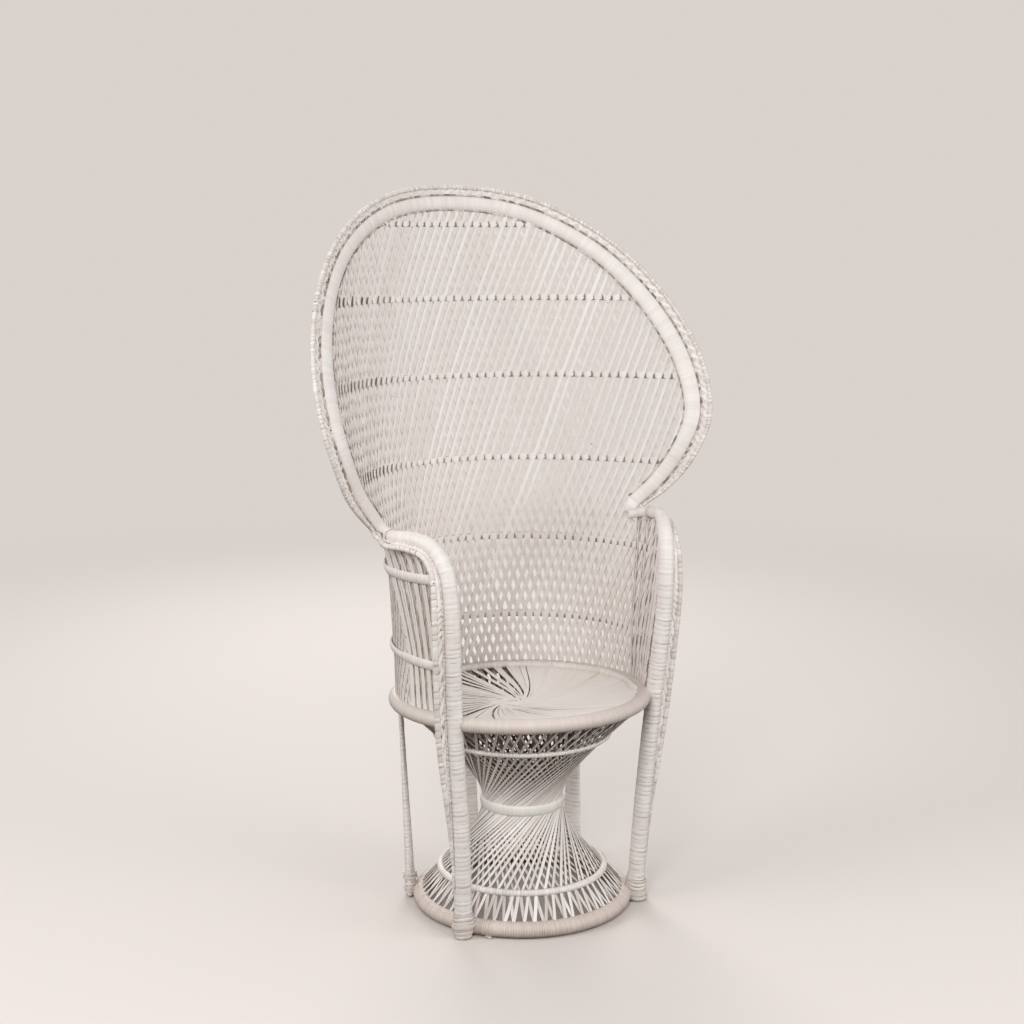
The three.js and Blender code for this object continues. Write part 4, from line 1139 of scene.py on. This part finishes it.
@dataclass
class Back(Assembly):
    """The lattice of the scooped back and side panels, and the level rows that hold it."""

    pitch: float = 16.8
    widening: float = 0.15
    lean: float = 0.345
    cane_wide: float = 7.4
    cane_thick: float = 1.9
    inset: float = 11.0
    pairs: int = 7
    row_drop: float = 14.0
    low_girth: float = 1.24
    low_to: float = 620.0
    low_over: float = 280.0
    dash_half: tuple = (0.4, 0.24)
    dash_from: float = 120.0
    dash_over: float = 220.0
    tie_half: tuple = (3.2, 10.0)
    tie_girth: tuple = (0.85, 1.8)
    tie_from: float = 90.0
    tie_over: float = 200.0
    tie_slant: float = 0.42
    stake_gap: float = 0.14
    stake_lean: float = 0.42
    stake_out: float = 2.6
    tie_out: float = 2.5
    ties_missing: float = 0.12
    row_strip: float = 6.5
    shortest_run: int = 5
    rows: tuple = (553.0, 727.0, 900.0, 1079.1, 1243.9, 1400.2)
    crossings: tuple = (5, 12, 19, 26, 33, 40)
    draws: np.random.Generator = seeded(37)

    @cached_property
    def border(self) -> Array:
        """The fan's outline in span and height, as far in as the strands reach."""
        return FORM.fan_spot(np.linspace(0, 1, 241), -self.inset)

    @cached_property
    def panel_lengths(self) -> tuple[Array, Array]:
        """Heights, and the side panel's length from the back to the leg there."""
        height = np.linspace(440, 790, 36)
        ends = FORM.panel_point(np.zeros(36), height), FORM.panel_point(np.ones(36), height)
        return height, np.linalg.norm(ends[1] - ends[0], axis=1)

    def spread(self, height: Any) -> Any:
        """How far the strands have fanned out at a height."""
        return 1 + self.widening * ease((height - FORM.seat_top) / 450)

    def swing(self, height: Any) -> Any:
        """How far aside a strand has run at a height, so that crossings lie just above each row."""
        foot = FORM.seat_top - 5
        known = np.array([foot, *(row + self.row_drop for row in self.rows), FORM.fan_top + 20])
        swung = np.array([0, *(count * self.pitch / 2 for count in self.crossings), 0])
        swung[-1] = swung[-2] + self.lean * (known[-1] - known[-2])
        return np.interp(height, known, swung)

    def in_fan(self, span: Array, height: Array) -> Array:
        """Tells which points lie inside the fan's outline."""
        start, end = self.border, np.roll(self.border, -1, axis=0)
        inside = np.zeros(span.shape, bool)
        for (x0, y0), (x1, y1) in zip(start, end):
            if y0 != y1:
                crossing = (y0 > height) != (y1 > height)
                inside ^= crossing & (span < (x1 - x0) * (height - y0) / (y1 - y0) + x0)
        return inside

    def in_back(self, span: Array, height: Array) -> Array:
        """Tells which points lie on the back, between the seat and the fan's roll."""
        low = (np.abs(span) <= FORM.join_span + 0.5) & (height < 832)
        return (low | self.in_fan(span, height)) & (height < FORM.fan_top)

    def panel_share(self, span: Array, height: Array) -> Array:
        """Share of the way from the back to the leg."""
        return (np.abs(span) - FORM.join_span) / np.interp(height, *self.panel_lengths)

    def in_panel(self, sign: float) -> Callable[[Array, Array], Array]:
        """Tells which points lie on one side panel."""
        def test(span: Array, height: Array) -> Array:
            """Tells which points lie on it."""
            share = self.panel_share(span, height)
            top = FORM.panel_height(np.clip(share, 0, 1), 1.0) + 3
            return (sign * span > FORM.join_span - 0.5) & (share < 1.0) & (height < top)
        return test

    def surface(self, span: Array, height: Array) -> Array:
        """Points of the back, which passes into the side panels."""
        share = np.maximum(self.panel_share(span, height), 0)
        side = FORM.panel_point(share, height) * stack(np.sign(span), 1, 1)
        beside = (np.abs(span) > FORM.join_span) & (height < FORM.arm_height)
        return np.where(beside[:, None], side, FORM.scoop(span, height))

    def outward(self, span: Array, height: Array) -> Array:
        """Directions that look away from the sitter."""
        here = self.surface(span, height)
        across = self.surface(span + 0.5, height) - here
        up = self.surface(span, height + 0.5) - here
        return unit(np.cross(across, up)) * -1

    def strands(self) -> dict[str, list[Guide]]:
        """Guides of the two crossing families, by the part of the back that they lie on."""
        regions = {"back": self.in_back, "left": self.in_panel(-1.0), "right": self.in_panel(1.0)}
        found: dict[str, list[Guide]] = {name: [] for name in regions}
        foot = FORM.seat_top - 5
        fine = np.arange(foot - 10, FORM.fan_top, 2.0)
        reach = FORM.join_span + 190 + self.lean * (FORM.fan_top - foot)
        count = int(reach / self.pitch)
        for family, offset in ((1, -1.0), (-1, 1.0)):
            for index in range(-count, count + 1):
                start = (index + 0.5 + self.draw(-0.06, 0.06)) * self.pitch
                lean = self.draw(0.994, 1.006)
                girth, tint, rise = self.draw(0.84, 1.1), self.draw(), self.draw(-0.2, 0.2)
                # The rear family is thinner, and darker as painted shade for lying behind the front one.
                if family < 0:
                    girth, tint = girth * 0.94, tint * 0.7 + 0.5
                span = (start + family * lean * self.swing(fine)) * self.spread(fine)
                for name, test in regions.items():
                    mask = test(span, fine).astype(int)
                    edges = np.flatnonzero(np.diff(np.concatenate([[0], mask, [0]])))
                    for first, last in zip(edges[::2], edges[1::2]):
                        if last - first < self.shortest_run:
                            continue
                        steps = max(int((last - first) * 2 / 15), 3)
                        at = np.linspace(first, last - 1, steps)
                        heights = np.interp(at, np.arange(len(fine)), fine)
                        spans = np.interp(at, np.arange(len(fine)), span)
                        out = self.outward(spans, heights)
                        points = self.surface(spans, heights) + out * (offset + rise)
                        grown = girth * lerp(self.low_girth, 1, ease((heights - self.low_to) / self.low_over))
                        found[name].append(Guide(points, out if name == "back" else -out, grown, tint))
        return found

    def side_stakes(self, sign: float, side: float) -> list[Guide]:
        """Guides of a panel's upright flat canes, 1 for those on its outer side and -1 for the inner ones."""
        guides = []
        for index in range(2 * self.pairs):
            share = (index // 2 + 0.5) / self.pairs + self.stake_gap * (1 if index % 2 else -1) / self.pairs
            height = np.linspace(FORM.seat_top - 3, FORM.panel_height(share, 1.0) + 4, 14)
            rise = np.linspace(0, 1, 14)
            shares = share + self.draw(-0.006, 0.006) + self.draw(-0.012, 0.012) * rise
            shares = shares + self.stake_lean * share * (1 - share) * rise
            base = FORM.panel_point(shares, height)
            out = unit(FORM.panel_point(shares, height, 1.0) - base)
            stake = Guide(base + out * self.stake_out * side, out * side, self.draw(0.92, 1.06), self.draw())
            guides.append(mirrored(stake, sign))
        return guides

    def row_end(self, height: float) -> float:
        """Span at which a row ends: at the leg below the arms, or else at the fan's roll."""
        if height < FORM.panel_top:
            return FORM.join_span + 0.93 * float(np.interp(height, *self.panel_lengths))
        fit = np.abs(np.diff((self.border[:, 1] > height).astype(int)))
        return float(np.abs(self.border[np.flatnonzero(fit)[-1], 0]) - 6)

    def row_line(self, height: float, offset: float) -> Guide:
        """Guide of a level band round the back, outside the strands."""
        end = self.row_end(height)
        span = np.linspace(-end, end, 200)
        level = np.full(span.shape, height)
        out = self.outward(span, level)
        girth = lerp(1, 1.3, ease((np.abs(span) - FORM.join_span + 20) / 30) * (height < FORM.arm_height))
        return Guide(self.surface(span, level) + out * offset, out, girth)

    def dashes(self, height: float, crossing: int) -> list[Guide]:
        """Guides of the short turns of cane that fill a row between the strands' crossings."""
        end = self.row_end(height)
        pitch = self.pitch * float(self.spread(height))
        count = int(end / pitch)
        guides = []
        for index in range(-count, count + 1):
            middle = (index + crossing % 2 / 2 + self.draw(-0.03, 0.03)) * pitch
            oblique = ease((-middle - self.dash_from) / self.dash_over)
            half = pitch * lerp(*self.dash_half, oblique) * self.draw(0.92, 1.08)
            run = np.linspace(-1, 1, 5)
            span = np.clip(middle + half * run, -end, end)
            level = height + self.draw(-0.7, 0.7) + self.draw(0.4, 1.6) * run
            out = self.outward(span, level)
            points = self.surface(span, level) - out * (2.2 - 1.8 * run**2)[:, None]
            girth = self.draw(0.94, 1.08) * (1 - 0.2 * run**2)
            guides.append(Guide(points, -out, girth, self.draw(0, 0.8)))
        return guides

    def ties(self, height: float, crossing: int) -> list[Guide]:
        """Guides of the short dark ties beside the crossings of a row, which are longest on its left: bare cane, and
        painted shade for the row's shaded slits.
        """
        end = self.row_end(height) - 8
        pitch = self.pitch * float(self.spread(height))
        guides = []
        for index in range(-int(end / pitch), int(end / pitch) + 1):
            middle = (index + (crossing + 1) % 2 / 2 + self.draw(-0.05, 0.05)) * pitch
            if abs(middle) > end or self.draw() < self.ties_missing:
                continue
            oblique = ease((-middle - self.tie_from) / self.tie_over)
            half = lerp(*self.tie_half, oblique) * self.draw(0.75, 1.1)
            run = np.linspace(-1, 1, 4)
            level = height + half * run
            span = middle + self.tie_slant * half * run
            out = self.outward(span, level)
            points = self.surface(span, level) - out * self.tie_out
            girth = self.draw(0.7, 1.1) * lerp(*self.tie_girth, oblique) * (1 - 0.5 * run**2)
            # Ties darken towards the left, where the row is seen at a slant: painted shade.
            guides.append(Guide(points, -out, girth, self.draw(0, 0.5) * (1 - oblique) + oblique))
        return guides

    def build(self, shop: Workshop) -> None:
        """Makes the back, the side panels and the rows."""
        strands = self.strands()
        shop.weave("back_canes", strands["back"], self.cane_wide, self.cane_thick, Look.WEAVE, ["back_lattice"])
        for side, sign in SIDES:
            node = f"side_lattice_{side}"
            shop.weave(f"side_canes_{side}", strands[side], self.cane_wide - 1, self.cane_thick, Look.PANEL, [node])
            stakes = self.side_stakes(sign, 1.0) + self.side_stakes(sign, -1.0)
            shop.weave(f"side_stakes_{side}", stakes, 5.8, 2.0, Look.WEAVE, [node])
        for index, (height, crossing) in enumerate(zip(self.rows, self.crossings), 1):
            offset, across = (6.0, 7.8) if index <= 2 else (4.8, 6.6)
            row, node = self.row_line(height, offset), f"back_row_{index}"
            shop.wind(f"row_wrap_{index}", row, self.row_strip, Look.ROW, [node], sides=8, across=across, out=3.0,
                      groove=0.5, lift=0.4, seed=40 + index)
            shop.weave(f"row_turns_{index}", self.dashes(height, crossing), 2 * across - 1, 1.6, Look.LACE, [node])
            shop.weave(f"row_ties_{index}", self.ties(height, crossing), 3.0, 1.2, Look.TIE, [node])


@dataclass
class Fan(Assembly):
    """The fan's wrapped roll, the thin rod outside it and the open zigzag between them."""

    strip: float = 9.0
    rod_strip: float = 8.0
    zigzags: int = 96
    web_from: float = 3 / 48
    web_to: float = 45 / 48
    crossing_gap: float = 0.9
    tail_steps: int = 10
    tail_size: float = 0.62
    tail_marks: tuple = ((288.0, 44.0, 803.0), (277.0, 33.0, 794.0))
    draws: np.random.Generator = seeded(53)

    def zigzag(self, marks: Array, inner: Callable, outer: Callable) -> list[Guide]:
        """Guides of thin canes that cross between a roll and its rod.

        Args:
            marks: shares along the roll at which canes touch it.
            inner: gives points on the roll at shares.
            outer: gives points on the rod at shares.

        Returns:
            The guides.
        """
        guides = []
        step = marks[1] - marks[0]
        for mark in marks[:-1]:
            for way in (1, -1):
                start, end = (mark, mark + step) if way > 0 else (mark + step, mark)
                start, end = start + self.draw(-0.12, 0.12) * step, end + self.draw(-0.12, 0.12) * step
                ends = np.vstack([inner(np.array([start])), outer(np.array([end]))])
                other = outer(np.array([start]))
                side = unit(np.cross(ends[1] - ends[0], other[0] - ends[0]) + 1e-9) * way
                points = lerp(ends[0], ends[1], np.linspace(-0.04, 1.04, 4)[:, None])
                points = points + side * self.crossing_gap * way
                guides.append(Guide(points, side, self.draw(0.85, 1.15), self.draw()))
        return guides

    def with_tails(self, points: Array, targets: Array) -> Array:
        """Runs a line on at both ends through targets beyond its right-hand end, and their mirror images."""
        bend = Spline(np.vstack([points[-12], points[-1], targets]), centripetal=True)
        tail = bend.at(np.linspace(1 / (len(bend.points) - 1), 1, self.tail_steps + 1)[1:])
        return np.vstack([(tail * [-1, 1, 1])[::-1], points, tail])

    def roll(self, share: Array) -> Guide:
        """Guide of the wrapped roll, which thins out at both ends."""
        size = FORM.fan_roll_size(share)
        taper = lerp(1, self.tail_size, ease(np.linspace(0.1, 1, self.tail_steps)))
        size = np.concatenate([(size[0] * taper)[::-1], size, size[-1] * taper])
        face = np.pad(FORM.fan_flange(share)[1], ((self.tail_steps, self.tail_steps), (0, 0)), "edge")
        return Guide(self.with_tails(FORM.fan_point(share), np.array(self.tail_marks)), face, size)

    def rod(self, share: Array) -> Guide:
        """Guide of the thin rod outside the roll, which runs on into the arms' rods."""
        mark = np.array([FORM.arm_mark(1)])
        start = FORM.flange(mark, FORM.edge_reach(mark))[0]
        edge = FORM.fan_edge(share, FORM.fan_reach(share))
        targets = np.vstack([lerp(edge[-1], start, 0.5) + [4, 0, 1], start])
        return Guide(self.with_tails(edge, targets), FRONT, FORM.edge_rod_radius)

    def build(self, shop: Workshop) -> None:
        """Makes the fan's edge."""
        share = np.linspace(0, 1, 260)
        size = FORM.fan_roll_size(share)
        shop.wind("fan_roll_wrap", self.roll(share), self.strip, Look.ROLL, ["fan_roll"], out=0.48, groove=0.14,
                  lift=0.2, slant=0.1, seed=9)
        shop.wind("fan_rod_wrap", self.rod(share), self.rod_strip, Look.ROD, ["fan_edge_rod"], sides=8, groove=0.5,
                  lift=0.5, wander=0.5, seed=10)
        # The inner lace is a dark broken line along the roll's inner edge: painted shade of the gap between roll and
        # lattice.
        for place, reach, forwards, radius in (("inner", -0.6 - size, 3.0, 1.7), ("outer", size + 1.6, 2.0, 2.2)):
            lace = Guide(FORM.fan_edge(share, reach, forwards), FRONT, radius)
            shop.wind(f"fan_{place}_lace", lace, self.rod_strip, Look.STITCH, [], sides=6, groove=0.6, lift=0.7,
                      wander=0.6, seed=12)
        guides = self.zigzag(
            np.linspace(self.web_from, self.web_to, self.zigzags + 1),
            lambda at: FORM.fan_edge(at, FORM.fan_roll_size(at) - 1),
            lambda at: FORM.fan_edge(at, FORM.fan_reach(at) - FORM.edge_rod_radius + 1),
        )
        shop.weave("fan_edge_zigzag", guides, 6.0, 1.2, Look.WEB, ["fan_edge_web"])


@dataclass
class Arms:
    """The rolled arms that run down as the front legs, with their flanges."""

    strip: float = 9.5
    rod_strip: float = 13.0
    strand_strip: float = 9.0
    joint_strip: float = 4.5
    zigzags: int = 40
    web_from: float = 6 / 33
    web_to: float = 26 / 33
    rod_foot: float = 0.55
    rod_closing: float = 5.0
    joint_mark: float = 1.5
    joint_half: float = 0.007

    def build(self, shop: Workshop, fan: Fan) -> None:
        """Makes both arms."""
        share = np.linspace(0, 1, 240)
        part = np.linspace(FORM.arm_mark(1), FORM.leg_at(FORM.edge_rod_foot)[0], 150)
        near_foot = ease(np.linspace(-4, 1, 150))
        middle = FORM.arm_mark(self.joint_mark)
        joint = np.linspace(middle - self.joint_half, middle + self.joint_half, 12)
        marks = np.linspace(self.web_from, self.web_to, self.zigzags + 1)
        rod_size = FORM.arm_rod_radius * lerp(1, self.rod_foot, near_foot)
        rod_line = FORM.flange(part, FORM.edge_reach(part) - self.rod_closing * near_foot)
        members = (
            ("arm_and_leg_wrap", "arm_and_leg", FORM.arm_curve.at(share), FORM.arm_size(share), self.strip, Look.ROLL,
             {"groove": 0.3, "lift": 0.5, "wander": 0.6, "slant": 0.12}),
            ("arm_rod_wrap", "arm_edge_rod", rod_line, rod_size, self.rod_strip, Look.ROD,
             {"sides": 8, "groove": 0.5, "lift": 0.5, "wander": 0.6}),
            ("arm_strand_wrap", "", FORM.flange(part, FORM.arm_size(part) + 2.0), 3.0, self.strand_strip, Look.ROD,
             {"sides": 6, "groove": 0.6, "lift": 0.7, "wander": 0.5}),
        )
        binding = Guide(FORM.arm_curve.at(joint), ASIDE, FORM.arm_size(joint) + 2.2)
        for seed, (side, sign) in zip((20, 25), SIDES):
            for offset, (name, node, line, size, strip, look, winding) in zip((0, 1, 3), members):
                guide = mirrored(Guide(line, ASIDE, size), sign)
                nodes = [f"{node}_{side}"] if node else []
                shop.wind(f"{name}_{side}", guide, strip, look, nodes, seed=seed + offset, **winding)
            guides = fan.zigzag(
                marks,
                lambda at: FORM.flange(at, FORM.arm_size(at) - 1),
                lambda at: FORM.flange(at, FORM.edge_reach(at) - FORM.arm_rod_radius + 1),
            )
            guides = [mirrored(guide, sign) for guide in guides]
            shop.weave(f"arm_zigzag_{side}", guides, 8.0, 1.2, Look.WEB, [f"arm_edge_web_{side}"])
            shop.wind(f"arm_joint_wrap_{side}", mirrored(binding, sign), self.joint_strip, Look.BINDING,
                      [f"arm_joint_binding_{side}"], groove=1.0, lift=0.6, wander=0.3, seed=seed + 2)


@dataclass
class Feet:
    """The flat rear legs, and the lashings at all five feet."""

    strip: float = 9.0
    lashing_strip: float = 7.0
    wide: float = 31.0
    thick: float = 12.5
    turn: float = np.radians(123)
    narrow: float = 0.8
    foot_wide: float = 1.45
    rear_lashing: tuple = (5.5 / 431, 48 / 431)
    front_lashing: tuple = (50.0, 8.0)

    def rear_leg(self, turn: float, low: float, high: float, steps: int) -> Array:
        """Points of a rear leg between two shares of its height."""
        share = np.linspace(low, high, steps)
        foot = FORM.base_radius + FORM.base_tube * FLAT + FORM.gap + self.thick / 2
        top = FORM.rim_height - FORM.rim_tube * FLAT - FORM.gap
        head = FORM.rim_radius + (9 if turn < np.pi else 0)
        return from_front(turn, lerp(foot, head, share), lerp(FORM.foot_lift, top, share))

    def build(self, shop: Workshop) -> None:
        """Makes the rear legs and the lashings."""
        lashing = {"groove": 2.4, "lift": 4.4, "wander": 0.6, "slant": 0.6}
        for index, (place, turn) in enumerate((("left", -self.turn), ("right", self.turn), ("centre", np.pi))):
            out = from_front(turn, 1.0, 0.0)
            girth = lerp(self.foot_wide, self.narrow if turn < np.pi else 1.0, ease(np.linspace(0, 1.15, 80)))
            leg = Guide(self.rear_leg(turn, 0, 1, 80), out, girth)
            shop.wind(f"rear_leg_wrap_{place}", leg, self.strip, Look.ROLL, [f"rear_leg_{place}"],
                      across=self.wide / 2, out=self.thick / 2, groove=0.35, lift=0.5, wander=0.5, seed=60 + index)
            lash = Guide(self.rear_leg(turn, *self.rear_lashing, 20), out, 1.0)
            shop.wind(f"foot_lashing_rear_{place}", lash, self.lashing_strip, Look.BINDING,
                      [f"foot_binding_rear_{place}"], across=self.wide / 2 + 8, out=self.thick / 2 + 7,
                      seed=70 + index, **lashing)
        for index, (side, sign) in enumerate(SIDES):
            mark = np.linspace(*FORM.leg_at(np.array(self.front_lashing)), 20)
            lash = Guide(FORM.arm_curve.at(mark), ASIDE, FORM.arm_size(mark) + 4.0)
            shop.wind(f"foot_lashing_front_{side}", mirrored(lash, sign), self.lashing_strip, Look.BINDING,
                      [f"foot_binding_front_{side}"], seed=80 + index, **lashing)


@dataclass
class Studio:
    """The pale floor, the soft lights and the camera."""

    azimuth: float = np.radians(-29.5)
    distance: float = 3.406
    height: float = 1.366
    pitch: float = np.radians(9.09)
    lens: float = 59.766
    shift: float = -10.2 / 1024
    aim: tuple = (0, 0, 0.95)
    ambient: float = 0.44
    floor_reach: float = 60.0
    lamps: tuple = (
        ("key", (-2.3, -3.0, 2.5), 1.6, 73.0), ("fill", (2.0, -3.1, 1.2), 2.2, 60.0),
        ("side", (-4.0, 0.1, 2.2), 2.4, 72.0), ("back", (1.4, 3.6, 2.6), 2.6, 96.0),
    )

    def place(self, name: str, data: bpy.types.ID, matrix: Matrix) -> bpy.types.Object:
        """Puts a camera, lamp or mesh in the scene."""
        made = bpy.data.objects.new(name, data)
        made.matrix_world = matrix
        bpy.context.scene.collection.objects.link(made)
        return made

    def camera(self) -> None:
        """Places the camera."""
        data = bpy.data.cameras.new("Camera")
        data.lens = self.lens
        data.sensor_width = 36.0
        data.shift_x = self.shift
        aside, ahead = self.distance * np.sin(self.azimuth), self.distance * np.cos(self.azimuth)
        turn = Matrix.Rotation(self.azimuth, 4, "Z") @ Matrix.Rotation(np.pi / 2 - self.pitch, 4, "X")
        spot = Matrix.Translation((aside, AXIS_Y - ahead, self.height))
        bpy.context.scene.camera = self.place("Camera", data, spot @ turn)

    def lamp(self, name: str, spot: Sequence[float], size: float, power: float) -> None:
        """Places a soft lamp that looks at the chair's back."""
        data = bpy.data.lights.new(name, "AREA")
        data.shape = "DISK"
        data.size = size
        data.energy = power
        turn = (Vector(self.aim) - Vector(spot)).to_track_quat("-Z", "Y").to_matrix().to_4x4()
        self.place(name, data, Matrix.Translation(spot) @ turn)

    def floor(self) -> None:
        """Lays the plain pale floor, which fades into the backdrop far away."""
        mesh = bpy.data.meshes.new("floor")
        corners = [(x * self.floor_reach, y * self.floor_reach, 0) for x, y in ((-1, -1), (1, -1), (1, 1), (-1, 1))]
        mesh.from_pydata(corners, [], [(0, 1, 2, 3)])
        material = bpy.data.materials.new("floor")
        material.use_nodes = True
        graph = Graph(material.node_tree)
        shader = material.node_tree.nodes["Principled BSDF"]
        looks = {"Base Color": (*paint_colour(222, 214, 209), 1.0), "Roughness": 0.9, "Specular IOR Level": 0.1}
        for name, value in looks.items():
            graph.put(shader.inputs[name], value)
        spot = graph.add("ShaderNodeTexCoord", out="Object")
        far = graph.add("ShaderNodeVectorMath", {0: spot}, "Value", operation="LENGTH").step(1.0, 5.0)
        ray = graph.add("ShaderNodeLightPath", out="Is Camera Ray")
        dull = graph.add("ShaderNodeBsdfDiffuse", {"Color": (*paint_colour(96, 88, 84), 1.0)})
        near = graph.add("ShaderNodeMixShader", {0: ray, 1: dull, 2: Term(graph, shader.outputs[0])})
        glow = graph.add("ShaderNodeEmission", {"Color": (*BACKDROP, 1.0)})
        both = graph.add("ShaderNodeMixShader", {0: far * ray, 1: near, 2: glow})
        graph.put(material.node_tree.nodes["Material Output"].inputs["Surface"], both)
        mesh.materials.append(material)
        floor = self.place("floor", mesh, Matrix())

    def world(self) -> None:
        """Sets the even light round the chair, and the pale background."""
        world = bpy.data.worlds.new("studio")
        bpy.context.scene.world = world
        world.use_nodes = True
        graph = Graph(world.node_tree)
        rays = [graph.add("ShaderNodeLightPath", out=f"Is {kind} Ray") for kind in ("Camera", "Glossy")]
        colour = graph.mix((rays[0] + rays[1]).clamp(), (self.ambient,) * 3, BACKDROP)
        graph.put(world.node_tree.nodes["Background"].inputs["Color"], colour)

    def build(self) -> None:
        """Sets up the studio."""
        self.camera()
        self.floor()
        self.world()
        for lamp in self.lamps:
            self.lamp(*lamp)
        bpy.context.scene.view_settings.view_transform = "Standard"


def main() -> None:
    """Builds the chair and its studio."""
    logging.basicConfig(level=logging.INFO, format="%(name)s: %(message)s")
    Studio().build()
    shop, fan = Workshop(), Fan()
    for assembly in (Base(), Seat(), Back(), fan):
        assembly.build(shop)
    Arms().build(shop, fan)
    Feet().build(shop)


if __name__ == "__main__":
    main()
